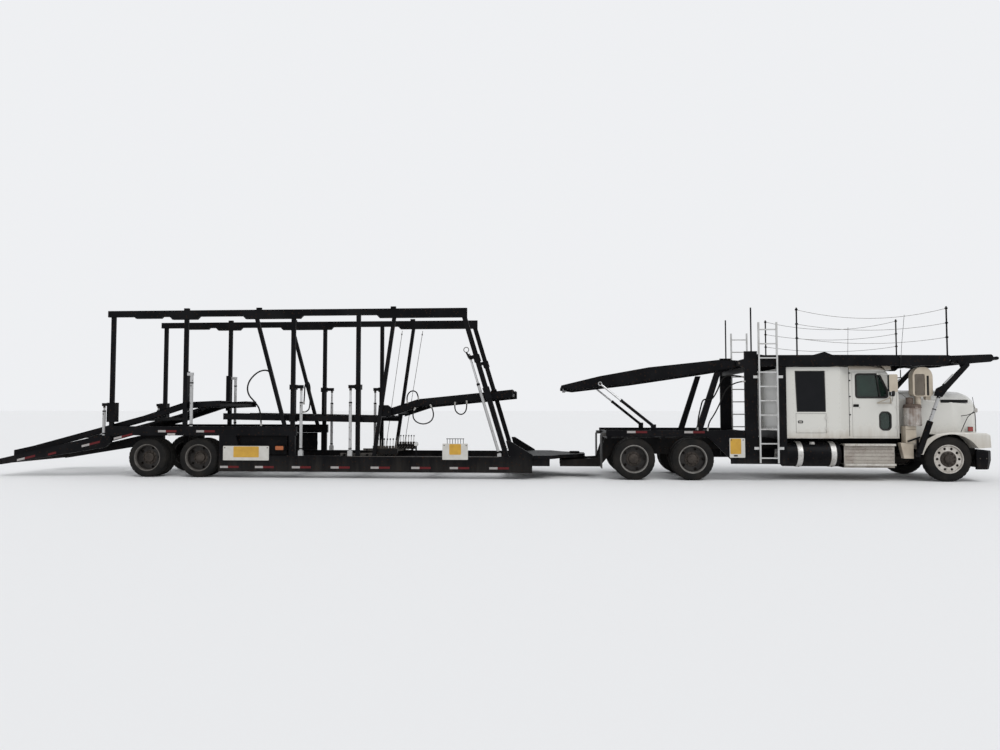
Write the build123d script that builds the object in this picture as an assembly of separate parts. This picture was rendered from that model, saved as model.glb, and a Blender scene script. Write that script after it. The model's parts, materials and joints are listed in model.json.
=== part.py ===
from build123d import *
import os
from math import cos, hypot, pi, sin

# Car transporter: a conventional tractor with a head rack over its bonnet, and a car-carrier
# trailer hinged low behind the drive axles. Millimetres. While modelling, x is measured forward
# from the front axle, y is to the left and z is up from the ground.

os.makedirs("parts", exist_ok=True)

# Overall
TAIL_X = -21960
RACK_NOSE_X = 1180
HALF_WIDTH = 1295
POST_TOP = 3950
RAIL_BOTTOM = POST_TOP - 220
RAIL_THIN = POST_TOP - 150
CAP_TOP = POST_TOP + 50
CENTRE_X = (TAIL_X + RACK_NOSE_X) / 2

# Gaps between pieces
SEAT = 0.3
SLIDE = 0.8
RUNNING = 6

# Wheels: tyre radius, axle stations
FRONT_TYRE_R = 500
DRIVE_TYRE_R = 475
TRAILER_TYRE_R = 460
RIM_R = 306
TYRE_WIDTH = 250
TWIN_GAP = 56
FRONT_TRACK = 1035
TWIN_OUTER_FACE = 1215
BEAD = 8
SHOULDER = 50
RIM_SHEET = 24
DISC_SHEET = 24
HUB_R = 140
HUB_NOSE = 60
DRUM_WIDTH = 86
HUB_BORE = 52
SPINDLE_R = HUB_BORE - SEAT
HAND_HOLE_CIRCLE = 235
DRIVE_AXLES = (-5580, -6890)
TRAILER_AXLES = (-17070, -18320)
KINGPIN_Y = 830

# Posts and rails in the side planes of the truck and of the trailer
POST_INNER = 1180
POST_OUTER = 1270
TRUCK_OUTER = 1245
POST_WIDTH = 100
POST_SIDES = (1195, 1255)
POST_Y = (POST_INNER + POST_OUTER) / 2
DECK_HALF = 1100
TRACK_INNER = 460
TRACK_OUTER = 1040
TRACK_SHEET = 60

# Chassis
RAIL_TOP = 930
RAIL_DEPTH = 250
CHASSIS_Y = 440
CHASSIS_REAR = -7500
CHASSIS_FRONT = 700

# Cab
CAB_HALF = 1020
CAB_FLOOR = 950
CAB_WALL = 45
CAB_REAR = -2070
CAB_FRONT = -980
SLEEPER_HALF = 1175
SLEEPER_REAR = -3490
SLEEPER_FRONT = -2310
SLEEPER_TOP = 2550
DOOR_FRONT = -1030
DOOR_REAR = -1990
DOOR_BOTTOM = 985
DOOR_TOP = 2440
DOOR_GAP = 6
HOOD_REAR = -710
COWL_HALF = CAB_HALF - 135

# Pivots, as (x, z)
HITCH_X = -8200
HOOD_PIVOT = (850, 760)
RACK_PIVOT = (-4270, 2800)
LEG_FOOT = (-700, 590)
LEG_KNEE = (-190, 2000)
LEG_EYE = (380, 2580)
REAR_DECK_PIVOT = (-4540, 2640)
ARM_FOOT = (-6450, 1215)
ARM_EYE = (-7650, 2185)
FRONT_PLATFORM_PIVOT = (-12540, 1540)
REAR_PLATFORM_PIVOT = (-17400, 1690)


def block(x_range, y_range, z_range):
    sizes = [high - low for low, high in (x_range, y_range, z_range)]
    middle = [(high + low) / 2 for low, high in (x_range, y_range, z_range)]
    return Pos(*middle) * Box(*sizes)


def side_plate(outline, y_range):
    """Outline of (x, z) points, seen from the side, as thick as y_range."""
    face = make_face(Polyline(*outline, close=True))
    side = Plane(origin=(0, y_range[1], 0), x_dir=(1, 0, 0), z_dir=(0, -1, 0))
    return extrude(side * face, amount=y_range[1] - y_range[0])


def plan_plate(outline, z_range):
    """Outline of (x, y) points, seen from above."""
    face = make_face(Polyline(*outline, close=True))
    return extrude(Pos(0, 0, z_range[0]) * face, amount=z_range[1] - z_range[0])


def cross_rod(x, z, radius, y_range):
    """Round bar across the vehicle."""
    middle = (y_range[0] + y_range[1]) / 2
    return Pos(x, middle, z) * Rot(90, 0, 0) * Cylinder(radius, y_range[1] - y_range[0])


def tube(start, end, radius, bore=0):
    line = Vector(*end) - Vector(*start)
    plane = Plane(origin=start, z_dir=line.normalized())
    solid = Cylinder(radius, line.length, align=(Align.CENTER, Align.CENTER, Align.MIN))
    if bore:
        solid -= Cylinder(bore, line.length, align=(Align.CENTER, Align.CENTER, Align.MIN))
    return plane * solid


def slanted_bar(start, end, depth, y_range):
    """Flat bar between two (x, z) points, centred on the line between them."""
    run, rise = end[0] - start[0], end[1] - start[1]
    length = hypot(run, rise)
    across = (-rise / length * depth / 2, run / length * depth / 2)
    outline = [
        (start[0] + across[0], start[1] + across[1]),
        (end[0] + across[0], end[1] + across[1]),
        (end[0] - across[0], end[1] - across[1]),
        (start[0] - across[0], start[1] - across[1]),
    ]
    return side_plate(outline, y_range)


def along(start, end, distance):
    """Point on the line from start towards end."""
    length = hypot(end[0] - start[0], end[1] - start[1])
    share = distance / length
    return (start[0] + (end[0] - start[0]) * share, start[1] + (end[1] - start[1]) * share)


def height(line, x):
    """Height at x of a bent line of (x, z) points that run forward."""
    for start, end in zip(line, line[1:]):
        if start[0] <= x <= end[0]:
            return start[1] + (end[1] - start[1]) * (x - start[0]) / (end[0] - start[0])


def sheet_along(line, y_range, depth=TRACK_SHEET):
    """Plate whose top follows a bent line."""
    return side_plate(line + [(x, z - depth) for x, z in reversed(line)], y_range)


def tube_under(line, x, half_y, half_x=35, depth=70):
    """Square cross tube close under a track that follows the line."""
    top = min(height(line, x - half_x), height(line, x + half_x)) - TRACK_SHEET - SEAT
    return block((x - half_x, x + half_x), (-half_y, half_y), (top - depth, top))


def other_side(piece):
    return mirror(piece, about=Plane.XZ)


def both(pieces):
    return pieces + [other_side(piece) for piece in pieces]


def fused(pieces):
    solid = pieces[0]
    for piece in pieces[1:]:
        solid = solid + piece
    return solid


def save(name, *pieces):
    solids = [solid for piece in pieces for solid in piece.solids()]
    placed = [solid.moved(Location((-CENTRE_X, 0, 0))) for solid in solids]
    export_step(Compound(placed), f"parts/{name}.step")


def save_pair(name, piece):
    save(name + "_left", piece)
    save(name + "_right", other_side(piece))


# Wheels, turned about the axle: half section as (y, radius) points from the outer face inward
def tyre_section(outer, width, radius):
    """Bead step, upright side walls and chamfered shoulders."""
    inner = outer - width
    return [
        (outer - BEAD, RIM_R + BEAD),
        (outer, RIM_R + 2 * BEAD),
        (outer, radius - SHOULDER),
        (outer - SHOULDER / 2, radius),
        (inner + SHOULDER / 2, radius),
        (inner, radius - SHOULDER),
        (inner, RIM_R + 2 * BEAD),
        (inner + BEAD, RIM_R + BEAD),
    ]


def turned(section, x, z):
    """Turns (y, radius) points about the wheel's own axle."""
    face = make_face(Polyline(*[(radius, y) for y, radius in section], close=True))
    half_plane = Plane(origin=(x, 0, z), x_dir=(1, 0, 0), z_dir=(0, 0, 1))
    return revolve(half_plane * face, Axis((x, 0, z), (0, 1, 0)))


def wheel(x, radius, outer, twin, dish, holes, hole_r):
    """A tyre or a pair of tyres on one hub, with a disc set dish deep behind the rim's lip."""
    disc = outer - dish
    back = disc - DISC_SHEET
    well = RIM_R - RIM_SHEET
    inner = outer - TYRE_WIDTH - (TYRE_WIDTH + TWIN_GAP if twin else 0)
    section = [(disc + HUB_NOSE, HUB_BORE), (disc + HUB_NOSE, HUB_R), (disc, HUB_R), (disc, well)]
    section += [(outer - BEAD, well), (outer - BEAD, RIM_R)]
    section += tyre_section(outer, TYRE_WIDTH, radius)
    if twin:
        section += tyre_section(outer - TYRE_WIDTH - TWIN_GAP, TYRE_WIDTH, radius)
    section += [(inner + BEAD, well), (back, well), (back, HUB_R), (back - DRUM_WIDTH, HUB_R)]
    section += [(back - DRUM_WIDTH, HUB_BORE)]
    solid = turned(section, x, radius)
    for turn in range(holes):
        angle = 2 * pi * turn / holes
        spot = (x + HAND_HOLE_CIRCLE * cos(angle), radius + HAND_HOLE_CIRCLE * sin(angle))
        solid -= cross_rod(*spot, hole_r, (back - 1, disc + 1))
    return solid


# name, axle station, tyre radius, outer face, twin tyres, dish of the disc, hand holes, hole radius
WHEELS = [
    ("front_wheel", 0, FRONT_TYRE_R, FRONT_TRACK + TYRE_WIDTH / 2, False, 30, 10, 30),
    ("drive_wheel_1", DRIVE_AXLES[0], DRIVE_TYRE_R, TWIN_OUTER_FACE, True, 150, 5, 34),
    ("drive_wheel_2", DRIVE_AXLES[1], DRIVE_TYRE_R, TWIN_OUTER_FACE, True, 150, 5, 34),
    ("trailer_wheel_1", TRAILER_AXLES[0], TRAILER_TYRE_R, TWIN_OUTER_FACE, True, 150, 5, 34),
    ("trailer_wheel_2", TRAILER_AXLES[1], TRAILER_TYRE_R, TWIN_OUTER_FACE, True, 150, 5, 34),
]
for name, *sizes in WHEELS:
    save_pair(name, wheel(*sizes))


# Chassis: two C rails joined by cross members
def channel(y_web, toward, x_range, z_range, flange=85, gauge=12):
    """C rail with its web at y_web and its flanges pointing toward the middle line."""
    inner = y_web + toward * flange
    thin = y_web + toward * gauge
    outline = [
        (y_web, z_range[0]), (inner, z_range[0]), (inner, z_range[0] + gauge), (thin, z_range[0] + gauge),
        (thin, z_range[1] - gauge), (inner, z_range[1] - gauge), (inner, z_range[1]), (y_web, z_range[1]),
    ]
    face = make_face(Polyline(*outline, close=True))
    end = Plane(origin=(x_range[0], 0, 0), x_dir=(0, 1, 0), z_dir=(1, 0, 0))
    return extrude(end * face, amount=x_range[1] - x_range[0])


rail_z = (RAIL_TOP - RAIL_DEPTH, RAIL_TOP)
rail = channel(CHASSIS_Y, -1, (CHASSIS_REAR, CHASSIS_FRONT), rail_z)
member_half = CHASSIS_Y - 12 - SEAT
cross_members = [
    block((x - 40, x + 40), (-member_half, member_half), (RAIL_TOP - 230, RAIL_TOP - 120))
    for x in (-7440, -6235, -4900, -3600, -2200, -700, 250)
]
save("truck_frame", *both([rail]), *cross_members)

ENGINE_BASE = RAIL_TOP - 120 + SEAT
save("engine_block", block((-900, 420), (-300, 300), (ENGINE_BASE, 1480)))

# Drop hitch behind the drive axles: two arms outside the rails carry a low table and turntable
HITCH_TABLE = 400
TURNTABLE_TOP = 455
KINGPIN_R = 25.4
arm_outline = [
    (-6980, RAIL_TOP - 10), (-7500, RAIL_TOP - 10), (-7660, 445), (-8560, HITCH_TABLE),
    (-8560, 250), (-7620, 250), (-7290, 640), (-6980, 700),
]
arm_y = (CHASSIS_Y + SEAT, CHASSIS_Y + 35)
arm = side_plate(arm_outline, arm_y)
table = block((-8560, -7800), (-CHASSIS_Y, CHASSIS_Y), (290, HITCH_TABLE))
table_middle = Pos(HITCH_X, 0, (HITCH_TABLE + TURNTABLE_TOP) / 2)
turntable = table_middle * Cylinder(320, TURNTABLE_TOP - HITCH_TABLE + 1)
kingpin_bore = Pos(HITCH_X, 0, HITCH_TABLE) * Cylinder(KINGPIN_R + SLIDE, 400)
save("drop_hitch", *both([arm]), table + turntable - kingpin_bore)

# Axles of the truck: front beam with king pins, drive housings, leaf springs under the rails
beam_outline = [
    (-KINGPIN_Y + 50, 560), (-KINGPIN_Y - 50, 560), (-KINGPIN_Y - 50, 440), (-KINGPIN_Y + 60, 440),
    (-560, 370), (560, 370), (KINGPIN_Y - 60, 440), (KINGPIN_Y + 50, 440), (KINGPIN_Y + 50, 560),
    (KINGPIN_Y - 50, 560), (520, 480), (-520, 480),
]
beam_face = make_face(Polyline(*beam_outline, close=True))
front_beam = extrude(Plane(origin=(-55, 0, 0), x_dir=(0, 1, 0), z_dir=(1, 0, 0)) * beam_face, amount=110)
for side in (-1, 1):
    front_beam -= Pos(0, side * KINGPIN_Y, 500) * Cylinder(26, 200)
spring_y = (CHASSIS_Y - 72, CHASSIS_Y - 2)
front_spring = side_plate(
    [(-700, 600), (-560, 570), (0, 480 + SEAT), (560, 570), (700, 600), (700, 680 - SEAT),
     (600, 680 - SEAT), (560, 630), (0, 550), (-560, 630), (-600, 680 - SEAT), (-700, 680 - SEAT)],
    spring_y,
)
DRIVE_HOUSING_R = 75
drive_parts = []
for x in DRIVE_AXLES:
    housing = cross_rod(x, DRIVE_TYRE_R, DRIVE_HOUSING_R, (-640, 640))
    housing += cross_rod(x, DRIVE_TYRE_R, 200, (-130, 130))
    housing += cross_rod(x, DRIVE_TYRE_R, SPINDLE_R, (-TWIN_OUTER_FACE + 110, TWIN_OUTER_FACE - 110))
    drive_parts.append(housing)
seat_z = DRIVE_TYRE_R + DRIVE_HOUSING_R + SEAT
middle_x = sum(DRIVE_AXLES) / 2
drive_spring = side_plate(
    [(DRIVE_AXLES[1] - 120, seat_z), (DRIVE_AXLES[0] + 120, seat_z), (DRIVE_AXLES[0] + 80, seat_z + 50),
     (middle_x + 120, 680 - SEAT), (middle_x - 120, 680 - SEAT), (DRIVE_AXLES[1] - 80, seat_z + 50)],
    spring_y,
)
truck_axles = [front_beam, front_spring, other_side(front_spring), drive_spring, other_side(drive_spring)]
save("truck_axles", *truck_axles, *drive_parts)

# Steering knuckles: a fork round the beam's end on its king pin, with the wheel's spindle
FORK_WEB = (KINGPIN_Y + 90, KINGPIN_Y + 125)
FORK_INNER = KINGPIN_Y - 33
fork_top = block((-50, 50), (FORK_INNER, FORK_WEB[1]), (560 + SEAT, 600))
fork_base = block((-50, 50), (FORK_INNER, FORK_WEB[1]), (395, 440 - SEAT))
fork_web = block((-50, 50), FORK_WEB, (395, 600))
king_pin = Pos(0, KINGPIN_Y, 497) * Cylinder(25.4, 170)
spindle = cross_rod(0, FRONT_TYRE_R, SPINDLE_R, (FORK_WEB[1] - 5, FRONT_TRACK + TYRE_WIDTH / 2 - 20))
save_pair("knuckle", fused([fork_top, fork_base, fork_web, king_pin, spindle]))

# Cab shell: side outline with sloping screen, hollow, with door openings and screen cut out
cab_outline = [
    (CAB_REAR, CAB_FLOOR), (CAB_FRONT, CAB_FLOOR), (CAB_FRONT, 1960), (-1235, 2470), (-1300, 2540),
    (-1600, 2600), (CAB_REAR, 2620),
]
inner_outline = [
    (CAB_REAR - 1, CAB_FLOOR + CAB_WALL), (CAB_FRONT - CAB_WALL, CAB_FLOOR + CAB_WALL),
    (CAB_FRONT - CAB_WALL, 1940), (-1280, 2450), (-1330, 2495), (-1600, 2552), (CAB_REAR - 1, 2572),
]
cab = side_plate(cab_outline, (-CAB_HALF, CAB_HALF))
cab = fillet(cab.edges().filter_by(Axis.Y, reverse=True).filter_by(lambda e: e.center().Z > 2500), 70)
cab -= side_plate(inner_outline, (-CAB_HALF + CAB_WALL, CAB_HALF - CAB_WALL))
door_outline = [
    (DOOR_REAR, DOOR_BOTTOM), (DOOR_FRONT, DOOR_BOTTOM), (DOOR_FRONT, 1960), (-1262, DOOR_TOP),
    (DOOR_REAR, DOOR_TOP),
]


def grown(outline, gap):
    """Outline moved outward by gap (inward where gap is negative)."""
    face = make_face(Polyline(*outline, close=True))
    return offset(face, gap, kind=Kind.INTERSECTION)


def side_cut(face, y_range):
    side = Plane(origin=(0, y_range[1], 0), x_dir=(1, 0, 0), z_dir=(0, -1, 0))
    return extrude(side * face, amount=y_range[1] - y_range[0])


SKIN_RANGE = (CAB_HALF - 60, CAB_HALF)
cab -= side_cut(grown(door_outline, DOOR_GAP), (CAB_HALF - 100, CAB_HALF + 50))
cab -= side_cut(grown(door_outline, DOOR_GAP), (-CAB_HALF - 50, -CAB_HALF + 100))
visor_outline = [(-1320, 2585), (-1235, 2470), (-1120, 2490), (-1140, 2575)]
visor = side_plate(visor_outline, (-CAB_HALF + 20, CAB_HALF - 20))
screen_plane = Plane(origin=(-1107, 0, 2215), x_dir=(0, 1, 0), z_dir=(0.894427, 0, 0.447214))
SCREEN_SIZE = (2 * CAB_HALF - 240, 440)
cab -= screen_plane * Box(SCREEN_SIZE[0], SCREEN_SIZE[1], 200)


def hood_section(x, half, base, shoulder, crown, skin=0):
    """Closed front-view section: upright sides, rounded shoulders, arched crown."""
    half, shoulder, crown = half - skin, shoulder - skin, crown - skin
    knee = (half - 60, shoulder)
    edges = [
        Line((-half, base), (half, base)),
        Line((half, base), (half, shoulder - 60)),
        ThreePointArc((half, shoulder - 60), (half - 18, shoulder - 18), knee),
        ThreePointArc(knee, (0, crown), (-knee[0], shoulder)),
        ThreePointArc((-knee[0], shoulder), (-half + 18, shoulder - 18), (-half, shoulder - 60)),
        Line((-half, shoulder - 60), (-half, base)),
    ]
    return Plane(origin=(x, 0, 0), x_dir=(0, 1, 0), z_dir=(1, 0, 0)) * make_face(Wire(edges))


COWL_LENGTH = 262
HOOD_BASE = 1060
HOOD_CROWN = 2050
COWL_SKIN = 35
cowl_face = hood_section(CAB_FRONT - 1, COWL_HALF, HOOD_BASE, 1845, HOOD_CROWN - 5)
cowl_hollow = hood_section(CAB_FRONT - 2, COWL_HALF, 1000, 1845, HOOD_CROWN - 5, COWL_SKIN)
cowl = extrude(cowl_face, amount=COWL_LENGTH) - extrude(cowl_hollow, amount=COWL_LENGTH + 5)
SKIRT_Y = (COWL_HALF - 30, COWL_HALF - 3)
SKIRT_BASE = 650
cowl_skirt = block((-850, CAB_FRONT + COWL_LENGTH - 1), SKIRT_Y, (SKIRT_BASE, HOOD_BASE + 20))
HINGE_PIN_R = 6
HINGE_BARREL_R = 11


def leaf_hinge(x, skin, z, leaf):
    """Barrel hinge on an outer skin: the fixed half with its pin, and the half that turns."""
    axis_y = skin + HINGE_BARREL_R + 1
    fixed = tube((x, axis_y, z - 50), (x, axis_y, z + 50), HINGE_PIN_R)
    for low in (z - 50, z + 18):
        fixed += tube((x, axis_y, low), (x, axis_y, low + 32), HINGE_BARREL_R)
        fixed += block((x, x + leaf), (skin - 1, axis_y + 2), (low, low + 32))
    moving = tube((x, axis_y, z - 17), (x, axis_y, z + 17), HINGE_BARREL_R)
    moving += block((x - leaf, x), (skin - 1, axis_y + 2), (z - 17, z + 17))
    moving -= tube((x, axis_y, z - 60), (x, axis_y, z + 60), HINGE_PIN_R + 0.5)
    return fixed, moving


DOOR_HINGE_X = DOOR_FRONT + 3
door_hinges = [leaf_hinge(DOOR_HINGE_X, CAB_HALF, z, 40) for z in (1200, 1650)]
fixed_halves = [fixed for fixed, moving in door_hinges]


def mounts_on_rails(stations, base):
    """Rubber-block seats that stand a shell on both chassis rails."""
    mounts = [
        block((x - 70, x + 70), (CHASSIS_Y - 70, CHASSIS_Y - 5), (RAIL_TOP + SEAT, base + 1))
        for x in stations
    ]
    return both(mounts)


cab_mounts = mounts_on_rails((-1850, -1150), CAB_FLOOR)
save("cab_shell", fused([cab, visor, cowl] + both([cowl_skirt] + fixed_halves) + cab_mounts))
pane = Box(SCREEN_SIZE[0] - 2 * SEAT, SCREEN_SIZE[1] - 2 * SEAT, 8)
save("windscreen", screen_plane * Pos(0, 0, -20) * pane)

# Doors: 60 mm thick, with the window cut and a mirror on two arms
door = side_cut(make_face(Polyline(*door_outline, close=True)), SKIN_RANGE)
window_outline = [(-1905, 1870), (-1225, 1870), (-1225, 2010), (-1400, 2390), (-1905, 2390)]
peep_outline = [
    (-1400, 1200), (-1340, 1140), (-1210, 1140), (-1160, 1200), (-1160, 1480), (-1220, 1540), (-1350, 1540),
    (-1400, 1480),
]
window_face = make_face(Polyline(*window_outline, close=True))
peep_face = make_face(Polyline(*peep_outline, close=True))
door -= side_cut(window_face, (CAB_HALF - 100, CAB_HALF + 50))
door -= side_cut(peep_face, (CAB_HALF - 100, CAB_HALF + 50))
door = fused([door] + [moving for fixed, moving in door_hinges])
GLASS_RANGE = (CAB_HALF - 34, CAB_HALF - 26)
glass = [side_cut(grown(outline, -SEAT), GLASS_RANGE) for outline in (window_outline, peep_outline)]
save("door_glass_left", *glass)
save("door_glass_right", *[other_side(pane) for pane in glass])
mirror_head = block((-1290, -1120), (1215, 1290), (1990, 2370))
mirror_arms = [
    tube((-1120, CAB_HALF + 16, 1790), (-1190, 1240, 2020), 14),
    tube((-1420, CAB_HALF + 16, 2415), (-1210, 1240, 2340), 14),
]
MIRROR_PADS = ((-1120, 1790, 60), (-1420, 2405, 30))
mirror_pads = [
    block((x - 30, x + 30), (CAB_HALF + SEAT, CAB_HALF + 20), (z - half, z + half))
    for x, z, half in MIRROR_PADS
]
mirror_set = fused([mirror_head] + mirror_arms + mirror_pads)
save("door_left", door, mirror_set)
save("door_right", other_side(door), other_side(mirror_set))

# Sleeper: box wider than the cab, flared at the front, hollow and open towards the cab
sleeper_plan = [
    (SLEEPER_REAR, -SLEEPER_HALF), (SLEEPER_FRONT, -SLEEPER_HALF), (CAB_REAR - SEAT, -CAB_HALF),
    (CAB_REAR - SEAT, CAB_HALF), (SLEEPER_FRONT, SLEEPER_HALF), (SLEEPER_REAR, SLEEPER_HALF),
]
sleeper = plan_plate(sleeper_plan, (CAB_FLOOR, SLEEPER_TOP))
sleeper_hollow = [
    (SLEEPER_REAR + CAB_WALL, -SLEEPER_HALF + CAB_WALL), (SLEEPER_FRONT - 15, -SLEEPER_HALF + CAB_WALL),
    (CAB_REAR + 10, -CAB_HALF + CAB_WALL), (CAB_REAR + 10, CAB_HALF - CAB_WALL),
    (SLEEPER_FRONT - 15, SLEEPER_HALF - CAB_WALL), (SLEEPER_REAR + CAB_WALL, SLEEPER_HALF - CAB_WALL),
]
sleeper -= plan_plate(sleeper_hollow, (CAB_FLOOR + CAB_WALL, SLEEPER_TOP - CAB_WALL))
LOCKER_X = (-3290, -2620)
LOCKER_Z = (1070, 1510)
PANEL_RECESS = 8
locker = block(LOCKER_X, (SLEEPER_HALF - 100, SLEEPER_HALF + 10), LOCKER_Z)
panel_recess = block((-3300, -2630), (SLEEPER_HALF - PANEL_RECESS, SLEEPER_HALF + 10), (1540, 2470))
for cut in both([locker, panel_recess]):
    sleeper -= cut
HATCH_HINGE_X = -2623
hatch_hinges = [leaf_hinge(HATCH_HINGE_X, SLEEPER_HALF, z, 36) for z in (1170, 1410)]
hatch_fixed = [fixed for fixed, moving in hatch_hinges]
sleeper_parts = [sleeper] + both(hatch_fixed) + mounts_on_rails((-3250, -2450), CAB_FLOOR)
save("sleeper_shell", fused(sleeper_parts))
hatch_x = (LOCKER_X[0] + DOOR_GAP, LOCKER_X[1] - DOOR_GAP)
hatch_z = (LOCKER_Z[0] + DOOR_GAP, LOCKER_Z[1] - DOOR_GAP)
hatch = block(hatch_x, (SLEEPER_HALF - CAB_WALL, SLEEPER_HALF), hatch_z)
save_pair("locker_hatch", fused([hatch] + [moving for fixed, moving in hatch_hinges]))

# Inside: two seats, dash, steering wheel on its column, bunk
cab_floor = CAB_FLOOR + CAB_WALL + SEAT
SEAT_Y = CAB_HALF - 470
seat_outline = [
    (-1500, cab_floor), (-1500, 1380), (-1440, 1440), (-1450, 1500), (-1860, 1480), (-1960, 2150),
    (-2040, 2150), (-1980, 1380), (-1900, cab_floor),
]
driver_seat = side_plate(seat_outline, (SEAT_Y - 240, SEAT_Y + 240))
DASH_HALF = CAB_HALF - 140
dash_front = CAB_FRONT - CAB_WALL - SEAT
dash_outline = [(dash_front, 1300), (-1250, 1450), (-1250, 1700), (dash_front, 1900)]
dash = side_plate(dash_outline, (-DASH_HALF, DASH_HALF))
column = tube((-1250 + SEAT, SEAT_Y, 1560), (-1400, SEAT_Y, 1700), 30)
column_plane = Plane(origin=(-1405, SEAT_Y, 1705), z_dir=(-0.731, 0, 0.682))
steering_rim = Cylinder(225, 26) - Cylinder(197, 26)
steering_wheel = column_plane * (steering_rim + Box(400, 40, 20) + Cylinder(45, 40))
dash_leg = block((-1180, -1040), (-DASH_HALF, 180 - DASH_HALF), (cab_floor, 1375))
bunk = block((SLEEPER_REAR + CAB_WALL + SEAT, -2650), (-1050, 1050), (cab_floor, 1560))
dash_set = fused([dash, dash_leg, column, steering_wheel])
save("cab_interior", *both([driver_seat]), dash_set, bunk)

# Bonnet: lofted crown over straight sides, hollow, with fenders round the front wheels
HOOD_SKIN = 30
HOOD_NOSE = 890

# x, half width, base, shoulder, crown
hood_stations = [
    (HOOD_REAR, COWL_HALF + 5, HOOD_BASE, 1850, HOOD_CROWN),
    (250, 850, HOOD_BASE, 1800, HOOD_CROWN),
    (760, 700, HOOD_BASE, 1740, 2010),
    (HOOD_NOSE, 620, HOOD_BASE, 1700, 1960),
]
hood = loft([hood_section(*row) for row in hood_stations], ruled=True)
inner_ends = (HOOD_REAR - 1, 250, 760 - HOOD_SKIN, HOOD_NOSE - HOOD_SKIN)
inner_rows = [
    (x, half, 900, shoulder, crown, HOOD_SKIN)
    for x, (_, half, _, shoulder, crown) in zip(inner_ends, hood_stations)
]
hood_hollow = loft([hood_section(*row) for row in inner_rows], ruled=True)
GRILLE_HALF = 470
GRILLE_Z = (1075, 1800)
GRILLE_X = (HOOD_NOSE - 36, HOOD_NOSE + 2)
hole_x = (GRILLE_X[0] - 60, HOOD_NOSE + 60)
grille_hole = block(hole_x, (-GRILLE_HALF, GRILLE_HALF), (HOOD_BASE - 60, GRILLE_Z[1]))
# Wedge-shaped air outlet under the shoulder crease
outlet = side_plate([(0, 1822), (0, 1814), (650, 1748), (665, 1802)], (600, 950))
ARCH_TOP = 1045
ARCH_R = 635
LIP_CENTRE = (60, 400)
LIP_R = 650
FENDER_INNER = 840
FENDER_OUTER = 1200
FENDER_SKIN = 30
fender_outline = [
    (-600, 600), (-600, 800), (-450, 950), (-250, 1060), (0, 1095), (300, 1095), (810, 1075), (870, 1040),
    (885, 760), (640, 740),
]
fender = side_plate(fender_outline, (600, FENDER_OUTER))
fender_rim = fender.edges().filter_by(lambda e: e.center().Y > FENDER_OUTER - 1 and e.center().Z > 1050)
fender = fillet(fender_rim, 35)
fender -= cross_rod(*LIP_CENTRE, LIP_R, (FENDER_INNER, FENDER_OUTER + 10))
wheel_space = cross_rod(0, FRONT_TYRE_R, ARCH_R, (0, FENDER_OUTER - FENDER_SKIN))
fender -= wheel_space & block((-700, 700), (0, FENDER_OUTER), (-200, ARCH_TOP))
fender -= block((-700, 900), (0, FENDER_INNER), (0, ARCH_TOP))
hood_skirt = side_plate(
    [
        (HOOD_REAR, SKIRT_BASE), (-640, SKIRT_BASE), (-585, 800), (-475, 950), (-330, HOOD_BASE + 5),
        (HOOD_REAR, HOOD_BASE + 5),
    ],
    SKIRT_Y,
)
HINGE_ARM_Y = (GRILLE_HALF + 8, GRILLE_HALF + 34)
hinge_outline = [(815, 745), (885, 745), (885, 1060), (889, 1100), (861, 1100), (840, 1060)]
hinge_arm = side_plate(hinge_outline, HINGE_ARM_Y)
hinge_arm += cross_rod(*HOOD_PIVOT, 35, HINGE_ARM_Y)
HOOD_PIN_R = 16
hinge_arm -= cross_rod(*HOOD_PIVOT, HOOD_PIN_R + SLIDE, (GRILLE_HALF, GRILLE_HALF + 50))
hood_body = fused([hood] + both([fender, hood_skirt])) - hood_hollow - grille_hole
for cut in both([outlet]):
    hood_body -= cut
save("hood", fused([hood_body] + both([hinge_arm])))
bars = [
    block((GRILLE_X[0] + 6, GRILLE_X[1]), (-GRILLE_HALF + SEAT, GRILLE_HALF - SEAT), (z, z + 24))
    for z in range(GRILLE_Z[0] + 15, GRILLE_Z[1] - 30, 58)
]
uprights = [
    block((GRILLE_X[0], GRILLE_X[1] - 4), (y - 12, y + 12), (GRILLE_Z[0], GRILLE_Z[1] - SEAT))
    for y in (-458, 0, 458)
]
save("grille", fused(uprights + bars))

# Bumper: pressed channel with swept ends, tow lugs at the rail ends
BUMPER_Z = (280, 700)
# x, half width of the outer and of the inner face, from the rear end forward
bumper_outer = [(540, 1205), (820, 1190), (945, 1060), (1000, 500)]
bumper_inner = [(539, 1150), (800, 1138), (895, 1030), (940, 500)]


def mirrored(points):
    return points + [(x, -y) for x, y in reversed(points)]


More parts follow.
